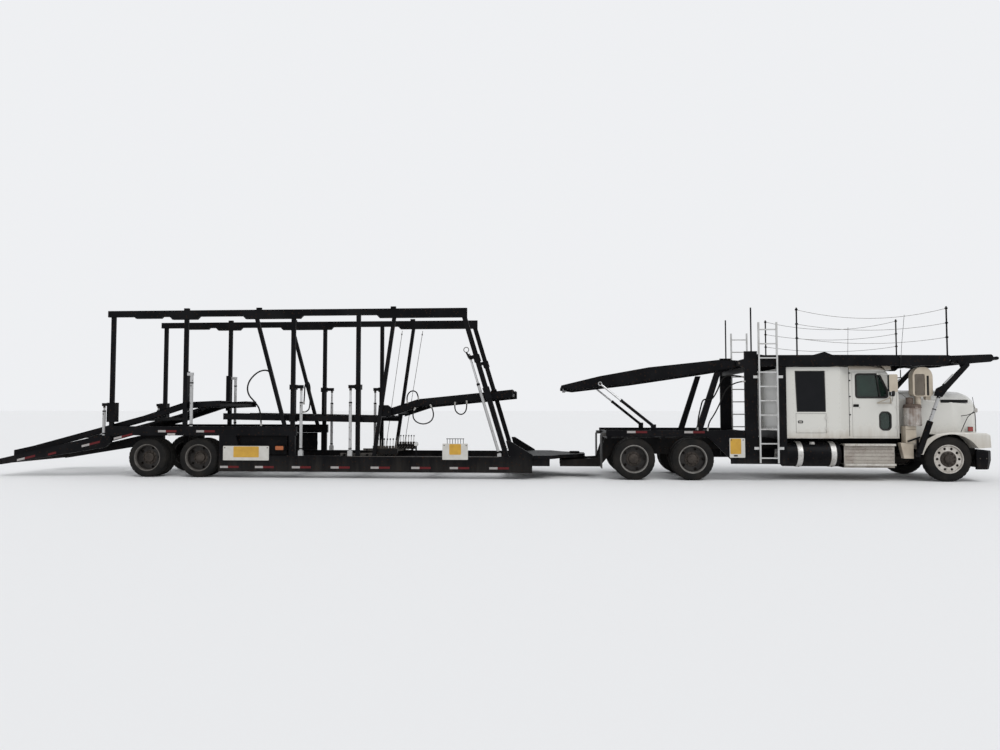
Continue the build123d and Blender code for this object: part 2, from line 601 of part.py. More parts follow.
bumper = plan_plate(mirrored(bumper_outer), BUMPER_Z)
bumper -= plan_plate(mirrored(bumper_inner), (BUMPER_Z[0] - 1, BUMPER_Z[1] + 1))
TOW_Y = 400
TOW_PIN_R = 17
TOW_X = 1035
lugs = []
for side in (-1, 1):
    horn = block((CHASSIS_FRONT + SEAT, 945), (side * TOW_Y - 35, side * TOW_Y + 35), (560, 690))
    drop = block((CHASSIS_FRONT + SEAT, 760), (side * TOW_Y - 35, side * TOW_Y + 35), (560, 900))
    lug = block((940, TOW_X + 35), (side * TOW_Y - 30, side * TOW_Y + 30), (590, 650))
    ear_y = sorted((side * (TOW_Y - 20), side * (GRILLE_HALF + 2)))
    ear = block((HOOD_PIVOT[0] - 30, HOOD_PIVOT[0] + 30), ear_y, (640, HOOD_PIVOT[1] + 30))
    pin_y = sorted((side * TOW_Y, side * (GRILLE_HALF + 40)))
    pin = cross_rod(*HOOD_PIVOT, HOOD_PIN_R, pin_y)
    ear_web = block((HOOD_PIVOT[0] - 30, HOOD_PIVOT[0] + 30), ear_y, (600, 660))
    lugs += [horn, drop, ear, ear_web, pin, lug - Pos(TOW_X, side * TOW_Y, 620) * Cylinder(TOW_PIN_R, 100)]
save("front_bumper", fused([bumper] + lugs))

# Fuel tanks on brackets, ribbed step boxes, air cleaners beside the cowl
TANK_Y = 880
TANK_R = 280
STRAP_STATIONS = (-3190, -2460)
tank = tube((-3550, TANK_Y, 590), (-2280, TANK_Y, 590), TANK_R)
tank = chamfer(tank.edges().filter_by(GeomType.CIRCLE), 35)
straps = [tube((x - 25, TANK_Y, 590), (x + 25, TANK_Y, 590), TANK_R + 6) for x in STRAP_STATIONS]
tank_brackets = [block((x - 30, x + 30), (CHASSIS_Y + SEAT, TANK_Y), (680, 720)) for x in STRAP_STATIONS]
save("fuel_tanks", *both([fused([tank] + straps + tank_brackets)]))
STEP_TREADS = (350, 790)
STEP_RIBS = (440, 530, 620, 710)
step_box = block((-2240, -1150), (560, 1120), (300, 795))
ribs = [block((-2230, -1160), (1100, 1132), (z, z + 40)) for z in STEP_RIBS]
treads = [block((-2245, -1145), (900, 1205), (z, z + 45)) for z in STEP_TREADS]
step_bracket = block((-1800, -1500), (CHASSIS_Y + SEAT, 600), (690, 750))
save("step_boxes", *both([fused([step_box, step_bracket] + ribs + treads)]))
CLEANER = (-722, COWL_HALF + 200)
CLEANER_R = 185
CLEANER_Z = (1230, 1720)
cleaner = Pos(*CLEANER, sum(CLEANER_Z) / 2) * Cylinder(CLEANER_R, CLEANER_Z[1] - CLEANER_Z[0])
cleaner = chamfer(cleaner.edges().filter_by(GeomType.CIRCLE), 30)
INTAKE_BASE = 1885
neck_plane = Plane(origin=(-600, CLEANER[1], CLEANER_Z[1] - 1))
neck_height = INTAKE_BASE - SEAT - CLEANER_Z[1] + 1
neck = neck_plane * Cylinder(88, neck_height, align=(Align.CENTER, Align.CENTER, Align.MIN))
side_pot = Pos(-780, CLEANER[1], 1790) * Cylinder(75, 160)
cowl_bracket = block((-800, -730), (COWL_HALF + SEAT, COWL_HALF + 75), (1330, 1420))
under_box = block((-920, -690), (COWL_HALF + 80, 1180), (860, CLEANER_Z[0] - SEAT))
lower_duct = side_plate([(-1020, 860 - SEAT), (-745, 860 - SEAT), (-745, 510), (-950, 510)], (1000, 1150))
# Intake: a box with a rounded top, a recessed mesh side, a slot and a post in front of it
INTAKE_Y = (985, 1190)
intake_outline = [
    (-745, INTAKE_BASE), (-745, 2380), (-700, 2455), (-610, 2515), (-490, 2540), (-400, 2520), (-335, 2455),
    (-315, 2370), (-315, 1815), (-395, 1815), (-395, 2370), (-447, 2370), (-447, INTAKE_BASE),
]
intake = side_plate(intake_outline, INTAKE_Y)
intake -= block((-705, -485), (INTAKE_Y[1] - 12, INTAKE_Y[1] + 1), (1905, 2390))
save("air_cleaners", *both([fused([cleaner, neck, side_pot, cowl_bracket]), under_box, lower_duct, intake]))

# Side frame over the drive wheels, sloping down to the sill ahead of them
frame_outline = [
    (-7520, 1130), (-7520, 990), (-5260, 990), (-4740, 470), (-4740, 380), (-4430, 380), (-4430, 1130),
]
FRAME_Y = (POST_INNER, TRUCK_OUTER)
side_frame = side_plate(frame_outline, FRAME_Y)
tie_half = POST_INNER - SEAT
deck_bars = [
    block((x - 45, x + 45), (-tie_half, tie_half), (RAIL_TOP + SEAT, 1080)) for x in (-7450, -6235, -4900)
]
flap = block((-7625, -7607), (665, 1215), (260, 1000))
cheek = block((-7520, -7495 - SEAT), (680, tie_half), (995, 1070))
save("side_frames", *both([side_frame, cheek]), *deck_bars)
flap_set = fused([flap, block((-7608, -7520 - SEAT), (700, 1180), (990, 1060))])
save("mud_flaps", *both([flap_set]))
arm_lug = block(
    (ARM_FOOT[0] - 60, ARM_FOOT[0] + 60), (POST_INNER - 8, POST_INNER + 12), (1130 + SEAT, ARM_FOOT[1] + 45)
)
arm_foot = arm_lug + cross_rod(*ARM_FOOT, 18, (POST_INNER, POST_OUTER + 10))

# Head rack posts with cross beams, and the lugs that carry both decks
POST_B = (-4420, -4140)
POST_C = (-3660, -3510)
post_b = block(POST_B, FRAME_Y, (380, 2910))
post_b -= cross_rod(*RACK_PIVOT, 30 + SLIDE, (1100, 1300))
lug = side_plate([(-4419, 2540), (-4600, 2590), (-4600, 2690), (-4419, 2740)], FRAME_Y)
lug -= cross_rod(*REAR_DECK_PIVOT, 25 + SLIDE, (1100, 1300))
post_c = block(POST_C, FRAME_Y, (380, 2560))
sill = block((POST_B[1] + SEAT, POST_C[0] - SEAT), FRAME_Y, (380, 500))
uprights_of_rack = [post_b + lug, post_c, sill]
ties = [
    block((-4390, -4290), (-tie_half, tie_half), (2450, 2560)),
    block((-4330, -4230), (-tie_half, tie_half), (RAIL_TOP + SEAT, 1100)),
    block((-3635, -3535), (-tie_half, tie_half), (RAIL_TOP + SEAT, 1100)),
]
GUARD_R = 17
guard_y = (POST_INNER + TRUCK_OUTER) / 2
uprights_of_rack.append(tube((-4260, guard_y, 2910 + SEAT), (-4260, guard_y, 3900), GUARD_R))
save("head_rack_posts", *both(uprights_of_rack), *ties)
rest_outline = [(-5500, 1000), (-5350, 1000), (-5350, 1130), (-4930, 2450), (-5060, 2450), (-5500, 1130)]
save("deck_rests", *both([side_plate(rest_outline, (1100, tie_half))]))
LADDER_X = (-4108, -3712)
LADDER_Y = (TRUCK_OUTER + RUNNING, HALF_WIDTH)
RUNG_STEP = 320
stiles = [block((x - 18, x + 18), LADDER_Y, (400, 3560)) for x in LADDER_X]
rung_y = (LADDER_Y[0] + 6, LADDER_Y[1] - 6)
rungs = [block(LADDER_X, rung_y, (z, z + 28)) for z in range(500, 3560, RUNG_STEP)]
# Clips that stand the ladder off the posts
clip_spots = [(x, z) for x in ((-4230, -4100), (-3720, -3580)) for z in (700, 2300)]
clips = [block(x, (TRUCK_OUTER + SEAT, LADDER_Y[0] + 2), (z, z + 60)) for x, z in clip_spots]
save("ladders", *both([fused(stiles + rungs + clips)]))

# Head rack deck: side beams, wheel tracks running out over the bonnet, cross tubes, hinge ears
BEAM_Z = (2570, 2820)
beam_outline = [
    (-4130, BEAM_Z[0]), (-60, BEAM_Z[0]), (30, 2640), (30, BEAM_Z[1] - 20), (-2490, BEAM_Z[1]),
    (-2660, 2890), (-2900, BEAM_Z[1]), (-4130, BEAM_Z[1]),
]
beam = side_plate(beam_outline, FRAME_Y)
ear_outline = [(-4340, 2730), (-4200, 2700), (-3900, 2700), (-3900, 2815), (-4200, 2860), (-4340, 2860)]
ear = side_plate(ear_outline, (DECK_HALF + SEAT, POST_INNER - RUNNING))
ear += block((-4125, -3900), (POST_INNER - RUNNING - 1, tie_half), (2700, 2810))
ear += cross_rod(*RACK_PIVOT, 30, (DECK_HALF + SEAT, TRUCK_OUTER + 5))
NOSE_ROOT = 150
NOSE_TIP = 1040
RAIL_RANGE = (TRACK_OUTER, DECK_HALF)
TRACK_RANGE = (TRACK_INNER, TRACK_OUTER - SEAT)
rear_rail_line = [(-3900, 2800), (NOSE_ROOT, 2800)]
nose_outline = [
    (NOSE_ROOT + SEAT, 2800), (NOSE_TIP - 40, 2825), (NOSE_TIP, 2790), (NOSE_TIP, 2690),
    (NOSE_TIP - 60, 2655), (400, 2610), (NOSE_ROOT + SEAT, 2640),
]
ROLLER_R = 40
ROLLER = (RACK_NOSE_X - ROLLER_R, 2740)
STUB_Y = (TRACK_OUTER + 10, DECK_HALF - 10)
nose_stub = block((NOSE_TIP - 10, ROLLER[0] + 25), STUB_Y, (ROLLER[1] - 22, ROLLER[1] + 22))
nose_rail = side_plate(nose_outline, RAIL_RANGE) + nose_stub
roller_half = STUB_Y[0] - SEAT
roller = cross_rod(*ROLLER, ROLLER_R, (-roller_half, roller_half))
rear_track_line = [(-4100, 2760), (30, 2760)]
nose_track_line = [(30 + SEAT, 2760), (NOSE_TIP - 40, 2800)]
eye_outline = [
    (LEG_EYE[0] - 120, 2700), (LEG_EYE[0] + 150, 2700), (LEG_EYE[0] + 60, LEG_EYE[1] - 45),
    (LEG_EYE[0] - 60, LEG_EYE[1] - 45),
]
EYE_PIN_R = 18
eye_plate = side_plate(eye_outline, (DECK_HALF + SEAT, DECK_HALF + 28))
eye_plate += cross_rod(*LEG_EYE, EYE_PIN_R, (DECK_HALF + 10, HALF_WIDTH))
rack_pieces = [beam, ear, nose_rail, eye_plate, sheet_along(rear_rail_line, RAIL_RANGE, 100)]
rack_pieces += [sheet_along(line, TRACK_RANGE) for line in (rear_track_line, nose_track_line)]
for x, foot in ((-3250, BEAM_Z[1]), (0, BEAM_Z[1] - 19)):
    rack_pieces.append(tube((x, guard_y, foot + SEAT), (x, guard_y, 3890), GUARD_R))
rack_tubes = [tube_under(rear_track_line, x, tie_half) for x in (-3700, -2900, -1900, -1000, -20)]
nose_tube = tube_under(nose_track_line, NOSE_TIP - 80, TRACK_OUTER - SEAT)
save("head_rack_deck", *both(rack_pieces), *rack_tubes, nose_tube, roller)

# Legs of the head rack, outside the bonnet: a square tube with a round barrel in it, and a cranked
# bar on the rod
LEG_Y = 1258
LEG_BARREL_R = 37
LEG_ROD_R = 26
LEG_TUBE_LENGTH = 798
LEG_BARREL_LENGTH = 1369
EYE_R = 46
EYE_BORE = 32


def eye_ring(spot, y_range, bore):
    return cross_rod(*spot, EYE_R, y_range) - cross_rod(*spot, bore, (y_range[0] - 1, y_range[1] + 1))


def cylinder_barrel(foot, eye, y, radius, rod_radius, length, pin_r):
    """Barrel with its foot eye, bored for the rod."""
    base = along(foot, eye, EYE_R - 6)
    floor = along(foot, eye, EYE_R + 20)
    top = along(foot, eye, length)
    barrel = tube((base[0], y, base[1]), (top[0], y, top[1]), radius)
    barrel -= tube((floor[0], y, floor[1]), (top[0], y, top[1]), rod_radius + SLIDE)
    return barrel + eye_ring(foot, (y - 25, y + 25), pin_r + SEAT)


def cylinder_rod(foot, eye, y, radius, start):
    """Rod that ends in an eye with play round its pin."""
    length = hypot(eye[0] - foot[0], eye[1] - foot[1])
    low = along(foot, eye, start)
    high = along(foot, eye, length - EYE_R + 8)
    rod = tube((low[0], y, low[1]), (high[0], y, high[1]), radius)
    return rod + eye_ring(eye, (y - 22, y + 22), EYE_BORE)


LEG_PIN_R = 20
LEG_DEPTH = 110
leg_barrel = cylinder_barrel(LEG_FOOT, LEG_KNEE, LEG_Y, LEG_BARREL_R, LEG_ROD_R, LEG_BARREL_LENGTH, LEG_PIN_R)
tube_base = along(LEG_FOOT, LEG_KNEE, EYE_R + 4)
tube_top = along(LEG_FOOT, LEG_KNEE, LEG_TUBE_LENGTH)
rod_floor = along(LEG_FOOT, LEG_KNEE, EYE_R + 20)
LEG_TUBE_Y = (LEG_Y - LEG_ROD_R - 4, LEG_Y + LEG_BARREL_R)
leg_tube = slanted_bar(tube_base, tube_top, LEG_DEPTH, LEG_TUBE_Y)
leg_tube -= tube((rod_floor[0], LEG_Y, rod_floor[1]), (tube_top[0], LEG_Y, tube_top[1]), LEG_ROD_R + SLIDE)
save("leg_barrels", *both([leg_barrel + leg_tube]))
rod_start = along(LEG_FOOT, LEG_KNEE, 350)
rod_end = along(LEG_FOOT, LEG_KNEE, LEG_BARREL_LENGTH + 80)
leg_rod = tube((rod_start[0], LEG_Y, rod_start[1]), (rod_end[0], LEG_Y, rod_end[1]), LEG_ROD_R)
BAR_Y = (LEG_Y - 28, LEG_Y + 28)
bar_outline = [
    (LEG_KNEE[0] - 135, LEG_KNEE[1] - 95), (LEG_KNEE[0] + 20, LEG_KNEE[1] - 130),
    (LEG_KNEE[0] + 130, LEG_KNEE[1] + 20), (LEG_EYE[0] + 30, LEG_EYE[1] - 40),
    (LEG_EYE[0] - 30, LEG_EYE[1] + 36), (LEG_KNEE[0] + 60, LEG_KNEE[1] + 135),
    (LEG_KNEE[0] - 85, LEG_KNEE[1] + 60),
]
cranked_bar = side_plate(bar_outline, BAR_Y) - cross_rod(*LEG_EYE, EYE_BORE, (LEG_Y - 50, LEG_Y + 50))
stay_low = (LEG_KNEE[0] + 50, LEG_KNEE[1] + 130)
stay_high = along(stay_low, (LEG_EYE[0] - 90, LEG_EYE[1]), 330)
stay = tube((stay_low[0], LEG_Y, stay_low[1]), (stay_high[0], LEG_Y, stay_high[1]), 20)
leg_eye_ring = eye_ring(LEG_EYE, (LEG_Y - 22, LEG_Y + 22), EYE_BORE)
save("leg_rods", *both([fused([leg_rod, cranked_bar, stay, leg_eye_ring])]))
LINK_Y = (FENDER_INNER + 352, 1214)
foot_pin = cross_rod(*LEG_FOOT, LEG_PIN_R, (1160, HALF_WIDTH - 5))
foot_x = (LEG_FOOT[0] - 35, LEG_FOOT[0] + 35)
foot_z = (LEG_FOOT[1] - 45, LEG_FOOT[1] + 45)
foot_beam = block(foot_x, (CHASSIS_Y + SEAT, LINK_Y[1]), foot_z)
rail_hanger = block(foot_x, (CHASSIS_Y + SEAT, CHASSIS_Y + 30), (foot_z[0], RAIL_TOP - 30))
link_post = block((LEG_FOOT[0], LEG_FOOT[0] + 45), LINK_Y, (foot_z[1] - 1, 965))
link_bar = slanted_bar((-890, 890), (-625, 985), 34, LINK_Y)
leg_foot = fused([foot_pin, foot_beam, rail_hanger, link_post, link_bar])
save("cylinder_feet", *both([leg_foot, arm_foot]))

# Rear deck of the truck, sloping down over the hitch, with its lift cylinders
deck_line = [(-8530, 2150), (-7660, 2360), (-6540, 2560), (-4900, 2730), (-4440, 2700)]
deck_side = deck_line + [(-4440, 2560), (-4990, 2470), (-6770, 2210), (-8220, 2040), (-8530, 2080)]
rear_rail = side_plate(deck_side, (DECK_HALF - 20, DECK_HALF + 60))
rear_rail += cross_rod(*REAR_DECK_PIVOT, 25, (DECK_HALF, TRUCK_OUTER + 5))
rear_rail += cross_rod(*ARM_EYE, EYE_PIN_R, (DECK_HALF + 50, HALF_WIDTH - 15))
track_top = [(-8530, 2150), (-7660, 2360), (-6540, 2560), (-4900, 2730), (-4640, 2715)]
deck_track = sheet_along(track_top, (TRACK_INNER, DECK_HALF - 20 - SEAT))
rear_tubes = [tube_under(track_top, x, DECK_HALF - 20 - SEAT) for x in (-8440, -7660, -6540, -5200)]
save("rear_deck", *both([rear_rail, deck_track]), *rear_tubes)
ARM_Y = 1235
arm_barrel = cylinder_barrel(ARM_FOOT, ARM_EYE, ARM_Y, 34, 24, 950, 18)
arm_rod = cylinder_rod(ARM_FOOT, ARM_EYE, ARM_Y, 24, 300)
save("arm_barrels", *both([arm_barrel]))
save("arm_rods", *both([arm_rod]))

# Trailer: sills, raised frame over the axles, sloping tail, nose with king pin
SILL_Y = (POST_INNER, POST_OUTER)
SILL_TOP = 520
RAISED_Z = (985, 1200)
sill = block((-16545, -9200), SILL_Y, (150, SILL_TOP))
step_up = side_plate(
    [
        (-16545, SILL_TOP + SEAT), (-16000, SILL_TOP + SEAT), (-16150, RAISED_Z[0] - SEAT),
        (-16545, RAISED_Z[0] - SEAT),
    ],
    SILL_Y,
)
raised_sill = block((-19330, -14700), SILL_Y, RAISED_Z)
prop = block((-14870, -14730), SILL_Y, (SILL_TOP + SEAT, RAISED_Z[0] - SEAT))
TAIL_END = TAIL_X + 140
tail_outline = [
    (TAIL_END + SEAT, 300), (TAIL_END + SEAT, 450), (-19450, RAISED_Z[0] - SEAT),
    (-19200, RAISED_Z[0] - SEAT), (-19200, 820), (-19330, 700),
]
tail = side_plate(tail_outline, SILL_Y)
RAMP_PIN = (TAIL_X + 70, 350)
RAMP_PIN_R = 16
pin_block = side_plate([(TAIL_X, 280), (TAIL_X, 420), (TAIL_END, 450), (TAIL_END, 300)], SILL_Y)
pin_block -= cross_rod(*RAMP_PIN, RAMP_PIN_R, (POST_INNER - 5, POST_OUTER + 5))
front_gusset = side_plate(
    [(-9700, SILL_TOP + SEAT), (-9800, 880), (-9710, 880), (-9190, 560), (-9190, SILL_TOP + SEAT)], SILL_Y
)
save("trailer_sills", *both([sill, step_up, raised_sill, prop, tail, pin_block, front_gusset]))
beam_half = POST_INNER - SEAT
LOWER_TRACK_Z = 340
cross_beams = [
    block((x - 50, x + 50), (-beam_half, beam_half), (170, LOWER_TRACK_Z - 50))
    for x in (-16300, -14800, -13250, -11500, -9800)
]
cross_beams.append(block((TAIL_X, TAIL_X + 60), (-beam_half, beam_half), (300, 400)))
RAISED_STATIONS = (-19130, -17695, -16250)
raised_z = (RAISED_Z[0] + 5, 1090)
for x in RAISED_STATIONS:
    cross_beams.append(block((x - 50, x + 50), (-beam_half, beam_half), raised_z))
for rear, front in zip(RAISED_STATIONS, RAISED_STATIONS[1:]):
    inner_beam = block((rear + 50 + SEAT, front - 50 - SEAT), (360, 440), raised_z)
    cross_beams += both([inner_beam])
save("cross_beams", *cross_beams)
nose_edge = [(-9650, beam_half), (-9200, beam_half), (-8800, 1150), (-8720, 1080), (-8500, 700), (-7960, 280)]
TONGUE_Z = (TURNTABLE_TOP + 5, 540)
tongue = plan_plate(mirrored(nose_edge), TONGUE_Z)
nose_box = block((-9650, -9200), (-beam_half, beam_half), (300, TONGUE_Z[0] + 1))
outrigger = block((-9201, -8800), (780, 1150), (300, TONGUE_Z[0] + 1))
trailer_kingpin = Pos(HITCH_X, 0, 420) * Cylinder(KINGPIN_R, 90)
kingpin_base = Pos(HITCH_X, 0, TONGUE_Z[1] - 5) * Cylinder(120, 100)
save("trailer_nose", fused([tongue, nose_box, trailer_kingpin, kingpin_base] + both([outrigger])))

# Lower deck: two wheel tracks between the sills, rising over the axles
lower_outline = [
    (-19170, 1150), (-16500, 1150), (-15700, LOWER_TRACK_Z), (-9900, LOWER_TRACK_Z),
    (-9900, LOWER_TRACK_Z - 50 + SEAT), (-15725, LOWER_TRACK_Z - 50 + SEAT), (-16520, raised_z[1] + SEAT),
    (-19170, raised_z[1] + SEAT),
]
save("lower_deck", *both([side_plate(lower_outline, (TRACK_INNER, TRACK_OUTER - 10))]))

# Trailer axles: tubes on trailing arms hung from two inner beams
axle_parts = []
for x in TRAILER_AXLES:
    axle_tube = cross_rod(x, TRAILER_TYRE_R, 65, (-640, 640))
    axle_tube += cross_rod(x, TRAILER_TYRE_R, SPINDLE_R, (-TWIN_OUTER_FACE + 110, TWIN_OUTER_FACE - 110))
    hanger_outline = [
        (x + 620, raised_z[0] - SEAT), (x + 480, raised_z[0] - SEAT), (x + 520, 600), (x - 60, 525),
        (x - 60, 420), (x + 60, 420), (x + 600, 520),
    ]
    for hanger in both([side_plate(hanger_outline, (360, 440))]):
        axle_tube += hanger
    axle_parts.append(axle_tube)
save("trailer_axles", *axle_parts)

# Upright posts: x, foot, top
POSTS = [
    (-19200, RAISED_Z[1], RAIL_THIN),
    (-17400, RAISED_Z[1], RAIL_BOTTOM),
    (-14800, RAISED_Z[1], RAIL_BOTTOM),
    (-13250, SILL_TOP, RAIL_THIN),
]
posts = [
    block((x - POST_WIDTH / 2, x + POST_WIDTH / 2), POST_SIDES, (foot + SEAT, top - SEAT))
    for x, foot, top in POSTS
]
FRONT_POST = ((-9790, 520), (-10760, 3730))
FRONT_POST_WIDTH = 112
BRACE_WIDTH = 86


def on_line(line, level):
    """Point of a slanted line of (x, z) points at one height."""
    (low_x, low_z), (high_x, high_z) = line
    return (low_x + (high_x - low_x) * (level - low_z) / (high_z - low_z), level)


def slanted_post(line, width, foot, top):
    """Slanted upright, cut level where it meets the sill and the rail."""
    bar = slanted_bar(on_line(line, foot - 100), on_line(line, top + 60), width, POST_SIDES)
    return bar & block((-22000, 2000), (-2000, 2000), (foot + SEAT, top - SEAT))


FRONT_BRACE = ((-12868, 480), (-12400, 3800))
REAR_BRACE = ((-14980, 1180), (-15700, 3775))
posts.append(slanted_post(FRONT_POST, FRONT_POST_WIDTH, SILL_TOP, RAIL_BOTTOM))
posts.append(slanted_post(FRONT_BRACE, BRACE_WIDTH, SILL_TOP, RAIL_BOTTOM))
posts.append(slanted_post(REAR_BRACE, BRACE_WIDTH, RAISED_Z[1], RAIL_BOTTOM))
save("trailer_posts", *both(posts))

# Upper rails, deeper at the posts, with caps above; x ranges of the deep stretches
RAIL_Y = (POST_INNER + 5, POST_OUTER - 5)
DEEP_STRETCHES = ((-18640, -18020, 40), (-17740, -17140, 70), (-15950, -14640, 70), (-12750, -10700, 70))
upper_rail = block((-19330, -10700), RAIL_Y, (RAIL_THIN, POST_TOP))
for rear, front, drop in DEEP_STRETCHES:
    gusset = [
        (rear - drop, RAIL_THIN + 1), (rear, RAIL_THIN - drop), (front, RAIL_THIN - drop),
        (min(front + drop, -10700), RAIL_THIN + 1),
    ]
    upper_rail += side_plate(gusset, RAIL_Y)
caps = [
    block((x - 60, x + 60), (POST_INNER + 12, POST_OUTER - 12), (POST_TOP - 1, CAP_TOP))
    for x in (-17400, -15640, -12430)
]
save("upper_rails", *both([fused([upper_rail] + caps)]))

# Carriages ride on the posts: collars round a post, joined by a strap behind it
SLEEVE_INNER = DECK_HALF + SEAT
SLEEVE_OUTER = HALF_WIDTH - 15
SLOT_Y = (POST_SIDES[0] - SLIDE, POST_SIDES[1] + SLIDE)
COLLAR_HALF = POST_WIDTH / 2 + 18


def collar(x, z_range, half=COLLAR_HALF, inner=SLEEVE_INNER):
    body = block((x - half, x + half), (inner, SLEEVE_OUTER), z_range)
    slot_x = (x - POST_WIDTH / 2 - SLIDE, x + POST_WIDTH / 2 + SLIDE)
    return body - block(slot_x, SLOT_Y, (z_range[0] - 1, z_range[1] + 1))


# Platforms: each is two wheel tracks with side rails and cross tubes along a bent line
def platform(line, depth, tube_stations, pin=None):
    rail = sheet_along(line, (TRACK_OUTER, DECK_HALF), depth)
    if pin:
        rail += pin
    sheet = sheet_along(line, (TRACK_INNER, TRACK_OUTER - SEAT))
    tubes = [tube_under(line, x, TRACK_OUTER - SEAT) for x in tube_stations]
    return both([rail, sheet]) + tubes


PIVOT_PIN_R = 25
front_line = [(-12600, 1600), (-11860, 1840), (-9650, 2060)]
front_pin = cross_rod(*FRONT_PLATFORM_PIVOT, PIVOT_PIN_R, (DECK_HALF - 5, 1160))
save("front_platform", *platform(front_line, 190, (-12500, -11820, -10800, -9740), front_pin))
bracket_outline = [(-12480, 1440), (-12480, 1640), (-12560, 1700), (-12770, 1700), (-12790, 1440)]
pivot_bracket = side_plate(bracket_outline, (DECK_HALF + RUNNING, POST_SIDES[0] - SEAT))
pivot_bracket -= cross_rod(*FRONT_PLATFORM_PIVOT, PIVOT_PIN_R + SLIDE, (1000, 1300))

# Lift cylinders: barrel on the trailer, rod on the carriage
ROD_R = 24
BARREL_R = 35
STAND_Y = (POST_INNER + 5, POST_OUTER - 5)
HEAD_Y = (POST_Y - 35, POST_Y + 35)


def lift_cylinder(foot, barrel_top, rod_bottom, rod_top):
    """Barrel bored from below its rod, and the rod, between (x, z) points on one line."""
    mouth = (barrel_top[0], POST_Y, barrel_top[1])
    bore_foot = along(rod_bottom, foot, 25)
    barrel = tube((foot[0], POST_Y, foot[1]), mouth, BARREL_R)
    barrel -= tube((bore_foot[0], POST_Y, bore_foot[1]), mouth, ROD_R + SLIDE)
    rod = tube((rod_bottom[0], POST_Y, rod_bottom[1]), (rod_top[0], POST_Y, rod_top[1]), ROD_R)
    return barrel, rod


def on_front(level, shift=0):
    spot = on_line(FRONT_POST, level)
    return (spot[0] + shift, level)


FRONT_SHIFT = -150
SLOPED_DEPTH = FRONT_POST_WIDTH + 36
FRONT_LEVELS = (560, 2200, 700, 2880)
front_barrel, front_rod = lift_cylinder(*[on_front(level, FRONT_SHIFT) for level in FRONT_LEVELS])
stand_x = on_front(560, FRONT_SHIFT)[0]
front_barrel += block((stand_x - 45, stand_x + 45), STAND_Y, (SILL_TOP + SEAT, 590))
front_parts = [
    slanted_bar(on_front(1850), on_front(2110), SLOPED_DEPTH, (DECK_HALF + RUNNING, SLEEVE_OUTER)),
    slanted_bar(on_front(2700), on_front(2860), SLOPED_DEPTH, (DECK_HALF + RUNNING, SLEEVE_OUTER)),
    slanted_bar(on_front(2100), on_front(2710), 60, (DECK_HALF + RUNNING, POST_SIDES[0] - 12)),
    slanted_bar(on_front(2770, FRONT_SHIFT / 2), on_front(2850, FRONT_SHIFT / 2), 200, HEAD_Y),
]
front_carriage = fused(front_parts)
front_carriage -= slanted_bar(on_front(1500), on_front(3400), FRONT_POST_WIDTH + 2 * SLIDE, SLOT_Y)
save("front_carriages", *both([front_carriage + front_rod]))

mid_line = [(-16530, 1510), (-12740, 1440)]
MID_POSTS = ((-14800, POST_WIDTH / 2 + 150), (-13250, -POST_WIDTH / 2 - 130))
mid_parts = []
lift_barrels = [front_barrel]
for x, reach in MID_POSTS:
    rod_x = x + reach
    barrel, rod = lift_cylinder((rod_x, 640), (rod_x, 1780), (rod_x, 720), (rod_x, 2130))
    stand = block((rod_x - 50, rod_x + 50), STAND_Y, (SILL_TOP + SEAT, 641))
    lift_barrels.append(barrel + stand)
    head_x = sorted((x + (COLLAR_HALF - 2) * (1 if reach > 0 else -1), rod_x + (45 if reach > 0 else -45)))
    head = block(head_x, HEAD_Y, (2090, 2170))
    strap = block((x - 40, x + 40), (SLEEVE_INNER, POST_SIDES[0] - 12), (1400, 2100))
    mid_parts.append(fused([collar(x, (1310, 1450)), collar(x, (2060, 2180)), strap, rod, head]))
save("middle_platform", *platform(mid_line, 150, (-16300, -14800, -13250)))
save("middle_carriages", *both(mid_parts))

rear_line = [(-21710, 620), (-21240, 720), (-18480, 1450), (-17490, 1770), (-16620, 1810)]
rear_pin = cross_rod(*REAR_PLATFORM_PIVOT, PIVOT_PIN_R, (DECK_HALF - 5, 1165))
save("rear_platform", *platform(rear_line, 150, (-21500, -20000, -18450, -17300, -16720), rear_pin))
pin_plate = block((-17460, -17352), (DECK_HALF + RUNNING, POST_SIDES[0] - SEAT), (1560, 2500))
pin_plate -= cross_rod(*REAR_PLATFORM_PIVOT, PIVOT_PIN_R + SLIDE, (1000, 1300))
save("platform_pivots", *both([pivot_bracket, pin_plate]))
# Fixed lock cylinder beside the second post
lock_x = -17400 + POST_WIDTH / 2 + 100
lock_cylinder = tube((lock_x, POST_Y, RAISED_Z[1] + SEAT), (lock_x, POST_Y, 2420), BARREL_R)
lock_cylinder += block((lock_x - 100 + SEAT, lock_x + 30), HEAD_Y, (2400, 2470))
lift_barrels.append(lock_cylinder)
REAR_POST = -19200
rear_x = REAR_POST - POST_WIDTH / 2 - 140
REAR_LEVELS = (RAISED_Z[0] + SEAT, 1580, 1040, 1740)
rear_barrel, rear_rod = lift_cylinder(*[(rear_x, level) for level in REAR_LEVELS])
lift_barrels.append(rear_barrel)
REAR_COLLAR_HALF = POST_WIDTH / 2 + 48
rear_collar = collar(REAR_POST, (1300, 1760), REAR_COLLAR_HALF, DECK_HALF + RUNNING)
rear_head = block((rear_x - 40, REAR_POST + 1 - REAR_COLLAR_HALF), HEAD_Y, (1680, 1750))
save("rear_carriages", *both([fused([rear_collar, rear_rod, rear_head])]))
save("lift_barrels", *both(lift_barrels))
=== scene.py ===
import json
from math import cos, hypot, pi, radians, sin

import bmesh
import bpy
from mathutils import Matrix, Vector
from mathutils.geometry import tessellate_polygon


